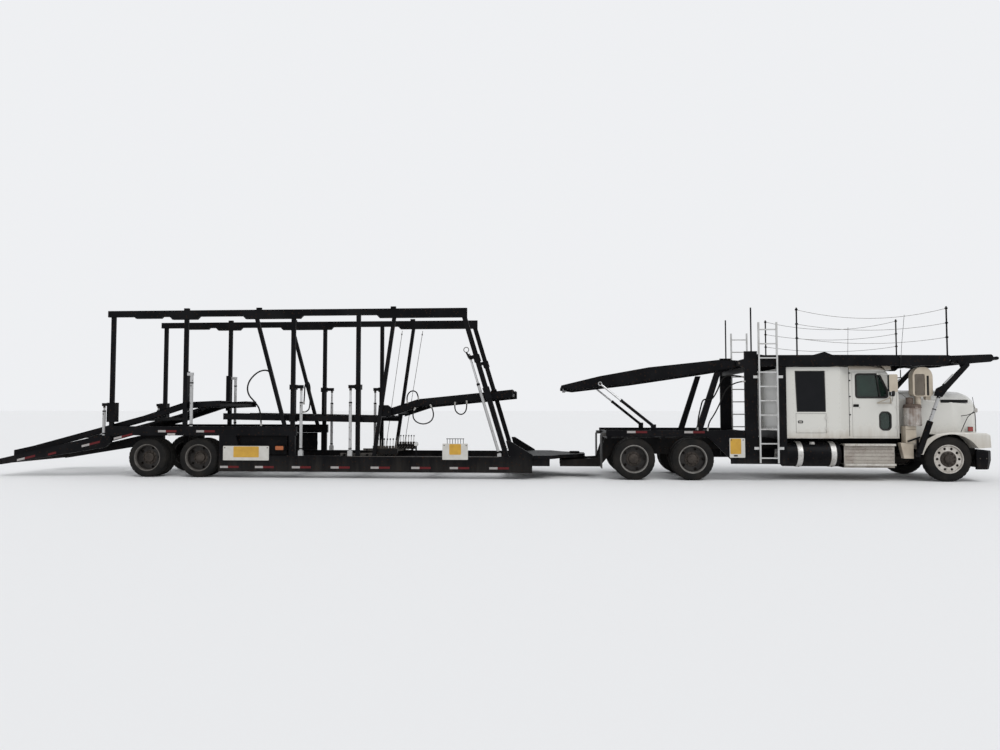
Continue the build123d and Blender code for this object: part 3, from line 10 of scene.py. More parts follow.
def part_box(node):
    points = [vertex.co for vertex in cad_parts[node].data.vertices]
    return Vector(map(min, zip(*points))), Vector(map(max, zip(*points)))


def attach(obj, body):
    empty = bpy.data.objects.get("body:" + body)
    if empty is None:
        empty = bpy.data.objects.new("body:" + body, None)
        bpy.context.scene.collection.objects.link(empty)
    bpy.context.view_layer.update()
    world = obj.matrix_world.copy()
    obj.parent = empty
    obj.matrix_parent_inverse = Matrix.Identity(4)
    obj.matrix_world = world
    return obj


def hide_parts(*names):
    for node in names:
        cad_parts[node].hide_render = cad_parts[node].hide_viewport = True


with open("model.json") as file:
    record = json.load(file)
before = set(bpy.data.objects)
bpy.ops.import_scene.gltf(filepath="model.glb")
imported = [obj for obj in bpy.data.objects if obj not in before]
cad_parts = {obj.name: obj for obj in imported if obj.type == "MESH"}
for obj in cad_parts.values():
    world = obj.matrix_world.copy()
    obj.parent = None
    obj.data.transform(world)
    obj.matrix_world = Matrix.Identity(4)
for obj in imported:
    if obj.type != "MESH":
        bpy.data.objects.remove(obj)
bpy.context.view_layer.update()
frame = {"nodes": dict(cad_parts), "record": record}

# The transporter stands on a pale floor under an even sky, seen from its right side.
# The camera is at a person's height, a little ahead of its middle, and looks slightly up.
scene = bpy.context.scene
scene.view_settings.view_transform = "Standard"

CAMERA_PLACE = (1.614, -18.293, 1.602)
CAMERA_YAW = 3.89
CAMERA_PITCH = 2.64
PHOTO_WIDTH = 1000
FOCAL_PIXELS = 743.8
camera_data = bpy.data.cameras.new("camera")
camera_data.sensor_width = 36
camera_data.lens = FOCAL_PIXELS / PHOTO_WIDTH * camera_data.sensor_width
camera_data.clip_end = 2000
camera = bpy.data.objects.new("camera", camera_data)
camera.location = CAMERA_PLACE
camera.rotation_euler = (radians(90 + CAMERA_PITCH), 0, radians(CAMERA_YAW))
scene.collection.objects.link(camera)
scene.camera = camera


class Level:
    """A value that changes over a surface. Arithmetic on it adds Math nodes."""

    def __init__(self, finish, socket):
        self.finish = finish
        self.socket = socket

    def maths(self, operation, first, second):
        return self.finish.node("ShaderNodeMath", {"operation": operation}, {0: first, 1: second})

    def __add__(self, other):
        return self.maths("ADD", self, other)

    def __sub__(self, other):
        return self.maths("SUBTRACT", self, other)

    def __rsub__(self, other):
        return self.maths("SUBTRACT", other, self)

    def __mul__(self, other):
        return self.maths("MULTIPLY", self, other)

    __radd__ = __add__
    __rmul__ = __mul__


class Finish:
    """A surface finish: one principled shader, and the nodes that vary its colour, gloss and relief."""

    def __init__(self, name, **constants):
        self.material = bpy.data.materials.new(name)
        self.material.use_nodes = True
        self.tree = self.material.node_tree
        self.shader = self.tree.nodes["Principled BSDF"]
        for words, value in constants.items():
            self.feed(words.replace("_", " ").title().replace("Ior", "IOR"), value)

    def join(self, value, socket):
        if isinstance(value, Level):
            self.tree.links.new(value.socket, socket)
        else:
            socket.default_value = (*value, 1) if socket.type == "RGBA" else value

    def feed(self, socket, value):
        self.join(value, self.shader.inputs[socket])

    def node(self, kind, settings, sockets, output=0):
        made = self.tree.nodes.new(kind)
        for name, value in settings.items():
            setattr(made, name, value)
        for name, value in sockets.items():
            self.join(value, made.inputs[name])
        return Level(self, made.outputs[output])

    def place(self):
        return self.node("ShaderNodeTexCoord", {}, {}, "Object")

    def stretched(self, scale):
        return self.node("ShaderNodeVectorMath", {"operation": "MULTIPLY"}, {0: self.place(), 1: scale})

    def along(self, axis):
        """Distance in metres along one axis of the piece."""
        return self.node("ShaderNodeSeparateXYZ", {}, {0: self.place()}, axis)

    def noise(self, scale, detail=3, stretch=(1, 1, 1)):
        """Cloudy value from 0 to 1, with patches of about 1 / scale metres."""
        sockets = {"Vector": self.stretched(stretch), "Scale": scale, "Detail": detail}
        return self.node("ShaderNodeTexNoise", {}, sockets)

    def cells(self, scale):
        """Distance from scattered points, for chips and spatter."""
        return self.node("ShaderNodeTexVoronoi", {}, {"Vector": self.place(), "Scale": scale})

    def ramp(self, value, low, high):
        """Smooth step of a value from 0 at low to 1 at high."""
        sockets = {"Value": value, "From Min": low, "From Max": high}
        return self.node("ShaderNodeMapRange", {"interpolation_type": "SMOOTHSTEP"}, sockets)

    def blend(self, share, first, second):
        """Colour between two others."""
        return self.node("ShaderNodeMix", {"data_type": "RGBA"}, {0: share, 6: first, 7: second}, 2)

    def relief(self, height, depth):
        """Bumps of a given depth in metres."""
        self.feed("Normal", self.node("ShaderNodeBump", {}, {"Height": height, "Distance": depth}))


FLOOR_COLOUR = (0.81, 0.81, 0.81)
SKY_COLOUR = (0.86, 0.87, 0.89)
SKY_LIGHT = (0.83, 0.845, 0.87)
FLOOR_HALF = 700
floor_mesh = bmesh.new()
bmesh.ops.create_grid(floor_mesh, x_segments=1, y_segments=1, size=FLOOR_HALF)
floor_data = bpy.data.meshes.new("floor")
floor_mesh.to_mesh(floor_data)
floor = bpy.data.objects.new("floor", floor_data)
scene.collection.objects.link(floor)
floor_finish = Finish("floor_finish", roughness=0.9)
floor_finish.feed("Base Color", FLOOR_COLOUR)
floor_data.materials.append(floor_finish.material)

world = bpy.data.worlds.new("sky")
world.use_nodes = True
sky = world.node_tree
sky_light = sky.nodes["Background"]
sky_light.inputs["Color"].default_value = (*SKY_LIGHT, 1)
sky_light.inputs["Strength"].default_value = 0.85
sky_seen = sky.nodes.new("ShaderNodeBackground")
sky_seen.inputs["Color"].default_value = (*SKY_COLOUR, 1)
sky_choice = sky.nodes.new("ShaderNodeMixShader")
ray_kind = sky.nodes.new("ShaderNodeLightPath")
ray_sum = sky.nodes.new("ShaderNodeMath")
ray_sum.operation = "MAXIMUM"
sky.links.new(ray_kind.outputs["Is Camera Ray"], ray_sum.inputs[0])
sky.links.new(ray_kind.outputs["Is Transmission Ray"], ray_sum.inputs[1])
sky.links.new(ray_sum.outputs[0], sky_choice.inputs[0])
sky.links.new(sky_light.outputs[0], sky_choice.inputs[1])
sky.links.new(sky_seen.outputs[0], sky_choice.inputs[2])
sky.links.new(sky_choice.outputs[0], sky.nodes["World Output"].inputs["Surface"])
scene.world = world

SUN_POWER = 1.3
SUN_SPREAD = 40
sun_data = bpy.data.lights.new("sun", "SUN")
sun_data.energy = SUN_POWER
sun_data.angle = radians(SUN_SPREAD)
sun = bpy.data.objects.new("sun", sun_data)
sun.rotation_euler = (radians(42), radians(8), radians(25))
scene.collection.objects.link(sun)


# Tyres are black radials with grooved treads and lugged shoulders, pressed onto their rims.
# Steer wheels are bare forged discs with ten round hand holes, and the twin wheels are dished
# steel discs behind an outer flange. Ten nuts on a ring hold each disc on its hub.
front_low, front_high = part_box("front_wheel_left")
FRONT_AXLE = (front_low[0] + front_high[0]) / 2
HOME = {node: body for body, nodes in frame["record"]["behaviour"]["bodies"].items() for node in nodes}
WELD_GAP = 0.00002
SHARP_ANGLE, BEVEL_ANGLE = 35, 50


def circle(radius, count, centre=(0, 0), start=0):
    turns = [2 * pi * (step + start) / count for step in range(count)]
    return [(centre[0] + radius * cos(turn), centre[1] + radius * sin(turn)) for turn in turns]


def oblong(x0, x1, z0, z1):
    return [(x0, z0), (x1, z0), (x1, z1), (x0, z1)]


class Form:
    """A mesh in millimetres: x forward of the front axle, z up, y to the left (side 1) or right."""

    def __init__(self, name, side=1):
        self.name = name
        self.side = side
        self.points = []
        self.faces = []
        self.finishes = []

    def add(self, points, faces, finish):
        if finish not in self.finishes:
            self.finishes.append(finish)
        base = len(self.points)
        self.points += [(x, self.side * y, z) for x, y, z in points]
        self.faces += [([base + i for i in face], self.finishes.index(finish)) for face in faces]

    def skin(self, rings, finish, closed=True, caps=True):
        """Joins rings of equally many points, one after the other."""
        count = len(rings[0])
        points = [point for ring in rings for point in ring]
        faces = []
        for row in range(len(rings) - 1):
            for i in range(count if closed else count - 1):
                j = (i + 1) % count
                low, high = row * count, (row + 1) * count
                faces.append([low + i, low + j, high + j, high + i])
        if caps:
            faces.append(list(range(count))[::-1])
            faces.append([(len(rings) - 1) * count + i for i in range(count)])
        self.add(points, faces, finish)

    def plate(self, outline, y_range, finish):
        """Side outline of (x, z) points, as thick as y_range."""
        self.skin([[(x, y, z) for x, z in outline] for y in y_range], finish)

    def block(self, x_range, y_range, z_range, finish):
        self.plate(oblong(*x_range, *z_range), y_range, finish)

    def tube(self, path, radius, finish, sides=8):
        """Round bar or pipe along a path of points."""
        spots = [Vector(point) for point in path]
        rings = []
        side = None
        for i, spot in enumerate(spots):
            run = (spots[min(i + 1, len(spots) - 1)] - spots[max(i - 1, 0)]).normalized()
            if side is None:
                side = run.orthogonal().normalized()
            side = (side - run * side.dot(run)).normalized()
            other = run.cross(side)
            ring = []
            for step in range(sides):
                turn = 2 * pi * step / sides
                ring.append(spot + (side * cos(turn) + other * sin(turn)) * radius)
            rings.append(ring)
        self.skin(rings, finish)

    def lathe(self, middle, section, finish, steps=48, axis="Y", closed=False):
        """Turns (distance along the axis, radius) points about an axis through middle."""
        x, y, z = middle
        rings = []
        for along, radius in section:
            spots = circle(radius, steps)
            if axis == "Y":
                rings.append([(x + across, y + along, z + rise) for across, rise in spots])
            elif axis == "Z":
                rings.append([(x + across, y + rise, z + along) for across, rise in spots])
            else:
                rings.append([(x + along, y + across, z + rise) for across, rise in spots])
        if closed:
            rings.append(rings[0])
        self.skin(rings, finish, caps=not closed)

    def pierced(self, loops, y_range, finish, x=0, z=0):
        """Upright sheet with an outer loop and holes, given as (x, z) loops about a centre."""
        triangles = tessellate_polygon([[Vector((u, v, 0)) for u, v in loop] for loop in loops])
        spots = [point for loop in loops for point in loop]
        for y in y_range:
            self.add([(x + u, y, z + v) for u, v in spots], [list(t) for t in triangles], finish)
        for loop in loops:
            self.skin([[(x + u, y, z + v) for u, v in loop] for y in y_range], finish, caps=False)

    def both_sides(self):
        """Adds the mirror image across the middle of the vehicle."""
        base = len(self.points)
        self.points += [(x, -y, z) for x, y, z in self.points]
        self.faces += [([base + i for i in reversed(face)], finish) for face, finish in list(self.faces)]

    def done(self, body, node=None, slot=None, edge=0):
        """Makes the piece and fixes it to its body. A node that it stands for is hidden."""
        mesh = bpy.data.meshes.new(self.name)
        work = bmesh.new()
        corners = [work.verts.new((x / 1000 + FRONT_AXLE, y / 1000, z / 1000)) for x, y, z in self.points]
        for face, finish in self.faces:
            try:
                made = work.faces.new([corners[i] for i in face])
            except ValueError:
                continue
            made.material_index = finish
            made.smooth = True
        bmesh.ops.remove_doubles(work, verts=work.verts, dist=WELD_GAP)
        bmesh.ops.recalc_face_normals(work, faces=work.faces)
        work.to_mesh(mesh)
        work.free()
        mesh.set_sharp_from_angle(angle=radians(SHARP_ANGLE))
        piece = bpy.data.objects.new(self.name, mesh)
        for finish in self.finishes:
            mesh.materials.append(finish.material)
        scene.collection.objects.link(piece)
        if edge:
            rounding = piece.modifiers.new("edges", "BEVEL")
            rounding.width = edge / 1000
            rounding.limit_method = "ANGLE"
            rounding.angle_limit = radians(BEVEL_ANGLE)
            rounding.harden_normals = True
        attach(piece, body)
        if node:
            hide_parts(node)


tyre_rubber = Finish("tyre_rubber", specular_ior_level=0.16)
tyre_dust = tyre_rubber.ramp(tyre_rubber.noise(4, 5) + tyre_rubber.noise(60, 2) * 0.25, 0.45, 0.85)
TYRE_BLACK = (0.006, 0.006, 0.006)
TYRE_DUSTY = (0.019, 0.017, 0.015)
tyre_rubber.feed("Base Color", tyre_rubber.blend(tyre_dust, TYRE_BLACK, TYRE_DUSTY))
tyre_rubber.feed("Roughness", 0.72 + tyre_dust * 0.2)
tyre_rubber.relief(tyre_rubber.noise(240, 2), 0.0006)


def worn_metal(name, bright, dull, share, rough, scale=7):
    """Bare or dusty metal, dull in clouds and speckled with dirt."""
    finish = Finish(name, metallic=share)
    clouds = finish.noise(scale, 5)
    speckle = finish.ramp(finish.cells(26) - finish.noise(70, 2) * 0.2, 0.16, 0.05)
    dirt = finish.ramp(clouds + finish.noise(32, 3) * 0.35, 0.5, 0.95) * 0.8 + speckle * 0.5
    finish.feed("Base Color", finish.blend(dirt, bright, dull))
    finish.feed("Roughness", rough + dirt * 0.3)
    finish.relief(finish.noise(120, 2) + dirt * 0.6, 0.0007)
    return finish


wheel_alloy = worn_metal("wheel_alloy", (0.56, 0.53, 0.49), (0.30, 0.27, 0.23), 0.35, 0.38)
flange_steel = worn_metal("flange_steel", (0.42, 0.41, 0.39), (0.20, 0.18, 0.16), 0.45, 0.40)
drive_flange = worn_metal("drive_flange", (0.25, 0.24, 0.225), (0.12, 0.11, 0.10), 0.4, 0.45)
dull_flange = worn_metal("dull_flange", (0.13, 0.12, 0.11), (0.06, 0.054, 0.048), 0.4, 0.5)
wheel_steel = worn_metal("wheel_steel", (0.024, 0.021, 0.019), (0.012, 0.010, 0.009), 0.3, 0.5)
hub_iron = worn_metal("hub_iron", (0.052, 0.041, 0.033), (0.020, 0.016, 0.013), 0.35, 0.5)

TYRE_WIDTH = 250
TWIN_STEP = 306
TYRE_STEPS = 116
# distance in from the outer face, distance from the outer radius, depth of the lug notch
TREAD_HALF = [(9, None, 0), (2, None, 0), (0, 118, 0), (0, 88, 0), (2, 62, 0), (7, 40, 0), (13, 26, 0),
              (20, 14, 7), (30, 4, 9), (44, 0, 9), (60, 0, 2), (62, 12, 0), (70, 12, 0), (72, 0, 0),
              (96, 0, 0), (98, 12, 0), (106, 12, 0), (108, 0, 0)]
BEAD_RADII = (304, 322)


def tyre(form, middle, outer, radius):
    """Side walls, lugged shoulders and a tread with four grooves."""
    rows = [(inset, BEAD_RADII[i] if i < 2 else radius - drop, notch)
            for i, (inset, drop, notch) in enumerate(TREAD_HALF)]
    rows += [(TYRE_WIDTH - inset, level, notch) for inset, level, notch in reversed(rows)]
    rings = []
    for inset, level, notch in rows:
        ring = []
        for step in range(TYRE_STEPS):
            turn = 2 * pi * step / TYRE_STEPS
            here = level - (notch if step % 4 < 1 else 0)
            ring.append((middle[0] + here * cos(turn), outer - inset, middle[2] + here * sin(turn)))
        rings.append(ring)
    form.skin(rings + rings[:1], tyre_rubber, caps=False)


def nut_ring(form, middle, face, radius, count, size):
    """Wheel nuts with their stud ends standing off a face."""
    nut = [(-2, size), (size * 1.2, size), (size * 1.4, size * 0.7), (size * 2, size * 0.6)]
    for x, z in circle(radius, count, (middle[0], middle[2]), 0.5):
        form.lathe((x, face, z), nut, hub_iron, 6)


# node start, tyre radius, outer face, twin, dish, flange finish, disc finish
WHEEL_KINDS = [("front_wheel", 500, 1160, False, 30, wheel_alloy, wheel_alloy),
               ("drive_wheel_1", 475, 1215, True, 150, drive_flange, wheel_steel),
               ("drive_wheel_2", 475, 1215, True, 150, drive_flange, wheel_steel),
               ("trailer_wheel_1", 460, 1215, True, 150, dull_flange, wheel_steel),
               ("trailer_wheel_2", 460, 1215, True, 150, dull_flange, wheel_steel)]
HAND_HOLE_CIRCLE = 235
RIM_LIP = [(-9, 306), (-9, 316), (-3, 318), (-1, 313), (-2, 303), (-10, 296), (-22, 290), (-46, 284),
           (-60, 282), (-60, 306)]


def wheel(node, radius, outer, twin, dish, flange, disc_finish, side):
    low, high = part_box(node)
    middle = (((low[0] + high[0]) / 2 - FRONT_AXLE) * 1000, 0, (low[2] + high[2]) * 500)
    form = Form(node + "_tyred", side)

    def turned(y, section, finish, steps=72, closed=True):
        form.lathe((middle[0], y, middle[2]), section, finish, steps, closed=closed)

    back, face = outer - dish - 24, outer - dish
    tyre(form, middle, outer, radius)
    turned(outer, RIM_LIP, flange)
    if twin:
        tyre(form, middle, outer - TWIN_STEP, radius)
        turned(outer, [(-60, 282), (-dish, 279), (-dish - 24, 279), (-dish - 24, 300), (-60, 306)], disc_finish)
        inner = outer - TWIN_STEP - TYRE_WIDTH - back
        turned(back, [(inner + 8, 306), (inner + 2, 316), (inner + 2, 300), (inner + 60, 282), (0, 279),
                      (0, 306)], disc_finish)
        hole_count, hole, rim = 5, 34, 279
        hub = [(-24, 168), (6, 168), (10, 160), (12, 118), (48, 108), (54, 100), (57, 60), (60, 0.5)]
        drum = [(-24, 60), (-24, 139), (-109, 139), (-109, 60)]
    else:
        hole_count, hole, rim = 10, 30, 283
        hub = [(-24, 176), (5, 176), (9, 170), (10, 104), (40, 98), (52, 88), (57, 60), (60, 0.5)]
        drum = [(-24, 60), (-30, 136), (-30, 139), (-109, 139), (-109, 60)]
    loops = [circle(rim, 80), circle(120, 32)]
    loops += [circle(hole, 14, centre) for centre in circle(HAND_HOLE_CIRCLE, hole_count)]
    form.pierced(loops, (face, back), disc_finish, middle[0], middle[2])
    turned(face, hub, hub_iron, 48, False)
    turned(back - 62, [(0, 90), (0, 277), (6, 277), (6, 90)], hub_iron, 48)
    nut_ring(form, middle, face + 10, 143, 10, 17)
    nut_ring(form, middle, face + 52, 74, 8, 8)
    turned(face, drum, hub_iron, 40, False)
    form.done(HOME[node], node, "tyre")


for start, *sizes in WHEEL_KINDS:
    wheel(start + "_left", *sizes, 1)
    wheel(start + "_right", *sizes, -1)


# Frame, posts, rails and decks are welded steel in black enamel, dulled and dusty from the road.
# Small chips down to brown rust are scattered over it, and the grime thickens toward the ground.
BLACK_ENAMEL = (0.0032, 0.0032, 0.0040)
FADED_ENAMEL = (0.0078, 0.0078, 0.0088)
ROAD_GRIME = (0.036, 0.032, 0.028)
BARE_RUST = (0.026, 0.014, 0.009)


def painted_steel(name, fresh, faded, grime_top, chips=0.07):
    """Old enamel on steel: faded in patches, grimy below grime_top, chipped to rust."""
    finish = Finish(name, specular_ior_level=0.07)
    clouds = finish.noise(1.7, 5)
    fine = finish.noise(38, 3)
    streaks = finish.noise(9, 3, (1, 1, 0.12))
    colour = finish.blend(finish.ramp(clouds, 0.35, 0.75), fresh, faded)
    low_down = 1 - finish.ramp(finish.along("Z"), 0.1, grime_top)
    grime = finish.ramp(low_down * 0.6 + streaks * 0.6, 0.6, 1.2)
    colour = finish.blend(grime * 0.7, colour, ROAD_GRIME)
    chip = finish.ramp(finish.cells(13) - fine * 0.30, chips, chips - 0.05)
    colour = finish.blend(chip * 0.8, colour, BARE_RUST)
    finish.feed("Base Color", colour)
    finish.feed("Roughness", 0.36 + grime * 0.40 + chip * 0.3 + clouds * 0.15)
    finish.relief(fine * 0.35 + clouds + chip * -0.6, 0.0014)
    return finish


def dress(finish, *names):
    """Puts a finish on nodes whose shape stays as it is."""
    for name in names:
        piece = frame["nodes"][name]
        piece.data.materials.clear()
        piece.data.materials.append(finish.material)


structure = painted_steel("black_enamel", BLACK_ENAMEL, FADED_ENAMEL, 1.1)
STRUCTURE_NODES = """leg_rods head_rack_posts head_rack_deck deck_rests side_frames leg_barrels
    arm_barrels cylinder_feet trailer_sills cross_beams trailer_nose trailer_posts upper_rails platform_pivots
    front_carriages middle_carriages rear_carriages fuel_tanks""".split()
dress(structure, *STRUCTURE_NODES)
running_gear = painted_steel("chassis_enamel", (0.006, 0.006, 0.0065), (0.014, 0.013, 0.012), 1.6, 0.09)
dress(running_gear, "truck_frame", "truck_axles", "trailer_axles", "drop_hitch", "engine_block",
      "knuckle_left", "knuckle_right")

# Each carrying deck is a pair of wheel tracks made like ladders, with folded steel edges and
# close rungs, hung between channel side rails and tied by square cross tubes. All are welded
# and enamelled black, and turn on plain pins at their lower end.
TRACK_IN, TRACK_OUT, RAIL_FACE = 460, 1040, 1100
RUNG_PITCH = 165
RUNG_LENGTH = 62


def level_at(line, x):
    """Height of a bent line of (x, z) points at x."""
    for (x0, z0), (x1, z1) in zip(line, line[1:]):
        if x0 <= x <= x1:
            return z0 + (z1 - z0) * (x - x0) / (x1 - x0)


def strip(form, line, drop, depth, y_range, finish):
    """Plate that follows a bent line, from drop below it to drop + depth."""
    upper = [(x, z - drop) for x, z in line]
    lower = [(x, z - drop - depth) for x, z in reversed(line)]
    form.plate(upper + lower, y_range, finish)


def wheel_track(form, line, y_range, sheet=60):
    inner, outer = y_range
    for edge in ((inner, inner + 12), (outer - 12, outer)):
        strip(form, line, 0, sheet, edge, structure)
    strip(form, line, 0, 8, (inner, inner + 50), structure)
    strip(form, line, 0, 8, (outer - 50, outer), structure)
    middle = (inner + outer) / 2
    strip(form, line, 10, sheet - 10, (middle - 10, middle + 10), structure)
    start, end = line[0][0], line[-1][0]
    count = int((end - start) / RUNG_PITCH)
    for i in range(count + 1):
        x = start + 4 + i * (end - start - RUNG_LENGTH - 8) / count
        ends = ((x, level_at(line, x) - 3), (x + RUNG_LENGTH, level_at(line, x + RUNG_LENGTH) - 3))
        strip(form, ends, 0, 26, (inner + 12, outer - 12), structure)


def cross_tubes(form, line, stations, half_y):
    for x in stations:
        top = min(level_at(line, x - 35), level_at(line, x + 35)) - 60.3
        form.block((x - 35, x + 35), (-half_y, half_y), (top - 70, top), structure)


# node, top line, rail depth, cross tube stations, pivot pin as (x, z, radius, reach)
PLATFORMS = [("front_platform", [(-12600, 1600), (-11860, 1840), (-9650, 2060)], 190,
              (-12500, -11820, -10800, -9740), (-12540, 1540, 25, 1160)),
             ("middle_platform", [(-16530, 1510), (-12740, 1440)], 150, (-16300, -14800, -13250), None),
             ("rear_platform",
              [(-21710, 620), (-21240, 720), (-18480, 1450), (-17490, 1770), (-16620, 1810)], 150,
              (-21500, -20000, -18450, -17300, -16720), (-17400, 1690, 25, 1165))]
for node, line, depth, stations, pin in PLATFORMS:
    form = Form(node + "_laddered")
    strip(form, line, 0, depth, (RAIL_FACE - 12, RAIL_FACE), structure)
    strip(form, line, 0, 12, (TRACK_OUT, RAIL_FACE), structure)
    strip(form, line, depth - 12, 12, (TRACK_OUT, RAIL_FACE), structure)
    wheel_track(form, line, (TRACK_IN, TRACK_OUT))
    if pin:
        form.lathe((pin[0], 0, pin[1]), [(1080, pin[2]), (pin[3], pin[2])], hub_iron, 20)
    form.both_sides()
    cross_tubes(form, line, stations, TRACK_OUT)
    form.done(HOME[node], node, "black_paint")

LOWER_LINE = [(-19170, 1150), (-16500, 1150), (-15700, 340), (-9900, 340)]
lower = Form("lower_deck_laddered")
wheel_track(lower, LOWER_LINE, (TRACK_IN, 1030), 50)
lower.both_sides()
lower.done(HOME["lower_deck"], "lower_deck", "black_paint")

# The truck's rear deck has deep tapered side plates with welded edge flanges and upright
# stiffeners between them. It turns on pins at its front end, and its cylinders push on two
# more pins behind.
REAR_TOP = [(-8530, 2150), (-7660, 2360), (-6540, 2560), (-4900, 2730), (-4440, 2700)]
REAR_UNDER = [(-8530, 2080), (-8220, 2040), (-6770, 2210), (-4990, 2470), (-4440, 2560)]
rear = Form("rear_deck_laddered")
rear.plate(REAR_TOP + REAR_UNDER[::-1], (1146, 1160), structure)
strip(rear, REAR_TOP, 0, 12, (1080, 1160), structure)
strip(rear, [(x, z + 12) for x, z in REAR_UNDER], 0, 12, (1080, 1160), structure)
rear.block((-8530, -8518), (1080, 1160), (2080, 2150), structure)
for x in (-8100, -7660, -7200, -6770, -6300, -5700, -5200, -4700):
    heights = (level_at(REAR_UNDER, x) + 4, level_at(REAR_TOP, x) - 4)
    rear.block((x - 6, x + 6), (1084, 1150), heights, structure)
wheel_track(rear, REAR_TOP[:4] + [(-4640, 2715)], (TRACK_IN, 1080))
rear.lathe((-4540, 0, 2640), [(1090, 25), (1250, 25)], hub_iron, 20)
rear.lathe((-7650, 0, 2185), [(1140, 18), (1280, 18)], hub_iron, 20)
rear.lathe((-7650, 0, 2185), [(1150, 60), (1166, 60)], structure, 24)
rear.both_sides()
cross_tubes(rear, REAR_TOP[:4], (-8440, -7660, -6540, -5200), 1079)
rear.done(HOME["rear_deck"], "rear_deck", "black_paint")

# Cab, sleeper and bonnet are white two-pack paint over aluminium and moulded panels.
# A thin brown film lies on it, thickest low down, with faint runs below the seams, and the roof
# edge under the rack turns darker brown.
CAB_WHITE = (0.60, 0.59, 0.55)
CAB_FILM = (0.36, 0.31, 0.245)
ROOF_EDGE_BROWN = (0.36, 0.30, 0.23)
cab_paint = Finish("cab_white", coat_weight=0.4, coat_roughness=0.15)
cab_low = 1 - cab_paint.ramp(cab_paint.along("Z"), 0.80, 1.55)
cab_runs = cab_paint.noise(14, 3, (1, 1, 0.10))
cab_clouds = cab_paint.noise(1.6, 5)
cab_dirt = cab_paint.ramp(cab_low * 0.55 + cab_runs * 0.45 + cab_clouds * 0.35, 0.5, 1.2)
# The roof edge and the roof under the rack turn darker brown.
roof_edge = cab_paint.ramp(cab_paint.along("Z") + cab_runs * 0.04, 2.485, 2.545)
cab_colour = cab_paint.blend(cab_dirt * 0.7, CAB_WHITE, CAB_FILM)
cab_paint.feed("Base Color", cab_paint.blend(roof_edge * 0.85, cab_colour, ROOF_EDGE_BROWN))
cab_paint.feed("Roughness", 0.25 + cab_dirt * 0.45)
cab_paint.relief(cab_clouds + cab_paint.noise(60, 2) * 0.1, 0.002)
dress(cab_paint, "cab_shell", "door_left", "door_right", "hood")
sleeper_paint = Finish("sleeper_white", coat_weight=0.4, coat_roughness=0.15)
sleeper_runs = sleeper_paint.noise(11, 3, (1, 1, 0.10))
sleeper_low = 1 - sleeper_paint.ramp(sleeper_paint.along("Z"), 0.85, 1.35)
sleeper_clouds = sleeper_paint.noise(1.9, 5)
sleeper_dirt = sleeper_low * 0.6 + sleeper_runs * 0.5 + sleeper_clouds * 0.3
sleeper_dirt = sleeper_paint.ramp(sleeper_dirt, 0.5, 1.15)
sleeper_paint.feed("Base Color", sleeper_paint.blend(sleeper_dirt * 0.7, CAB_WHITE, CAB_FILM))
sleeper_paint.feed("Roughness", 0.25 + sleeper_dirt * 0.45)
sleeper_paint.relief(sleeper_paint.noise(2.2, 3), 0.002)
dress(sleeper_paint, "sleeper_shell", "locker_hatch_left", "locker_hatch_right")

# Windows are green tinted safety glass in black rubber gaskets pressed over the panel edge.
# Each door has a large pane with a slanted vent bar, and a small low pane under its front.
def filmed(name, first, second, clouds, rough, gloss=None, bumps=None, depth=0.001, **constants):
    """One colour under a cloudy film of another. The noises are (scale, detail, stretch)."""
    finish = Finish(name, **constants)
    film = finish.noise(*clouds)
    finish.feed("Base Color", finish.blend(film, first, second))
    finish.feed("Roughness", rough[0] + (finish.noise(*gloss) if gloss else film) * rough[1])
    if depth:
        finish.relief(finish.noise(*bumps) if bumps else film, depth)
    return finish


glass = filmed("tinted_glass", (0.045, 0.10, 0.075), (0.085, 0.15, 0.12), (5, 4), (0.02, 0.06),
               depth=0, transmission_weight=0.82, ior=1.5)
dress(glass, "windscreen", "door_glass_left", "door_glass_right")
gasket_rubber = filmed("gasket_rubber", (0.010, 0.010, 0.010), (0.030, 0.028, 0.026), (9, 4), (0.6, 0.2),
                       (30, 3), (80, 2), 0.0008, specular_ior_level=0.3)


def set_out(outline, gap):
    """Outline moved outward by gap; its points run round once in either direction."""
    area = sum(x0 * z1 - x1 * z0 for (x0, z0), (x1, z1) in zip(outline, outline[1:] + outline[:1]))
    turn = 1 if area > 0 else -1
    moved = []
    for i, (x, z) in enumerate(outline):
        before, after = outline[i - 1], outline[(i + 1) % len(outline)]
        first, second = Vector((x - before[0], z - before[1])), Vector((after[0] - x, after[1] - z))
        first.normalize()
        second.normalize()
        normal = Vector((first.y + second.y, -first.x - second.x)) * turn
        normal /= max(0.3, 1 + first.dot(second))
        moved.append((x + normal.x * gap, z + normal.y * gap))
    return moved


def rounded(outline, radius, steps=5):
    """Outline with its corners cut to smooth curves."""
    points = []
    for i, corner in enumerate(outline):
        here = Vector(corner)
        for step in range(steps + 1):
            share = step / steps
            ends = []
            for neighbour in (Vector(outline[i - 1]), Vector(outline[(i + 1) % len(outline)])):
                reach = min(radius, (neighbour - here).length * 0.45)
                ends.append(here + (neighbour - here).normalized() * reach)
            spot = ends[0] * (1 - share) ** 2 + here * 2 * share * (1 - share) + ends[1] * share ** 2
            points.append((spot.x, spot.y))
    return points


def frame_round(form, outline, grow, shrink, y_range, finish, radius=60):
    """Frame between an outline grown by one amount and shrunk by another."""
    outer = rounded(set_out(outline, grow), radius + grow)
    inner = rounded(set_out(outline, -shrink), radius)
    rings = [[(x, y, z) for x, z in loop] for y, loop in
             ((y_range[0], outer), (y_range[1], outer), (y_range[1], inner), (y_range[0], inner))]
    form.skin(rings + rings[:1], finish, caps=False)


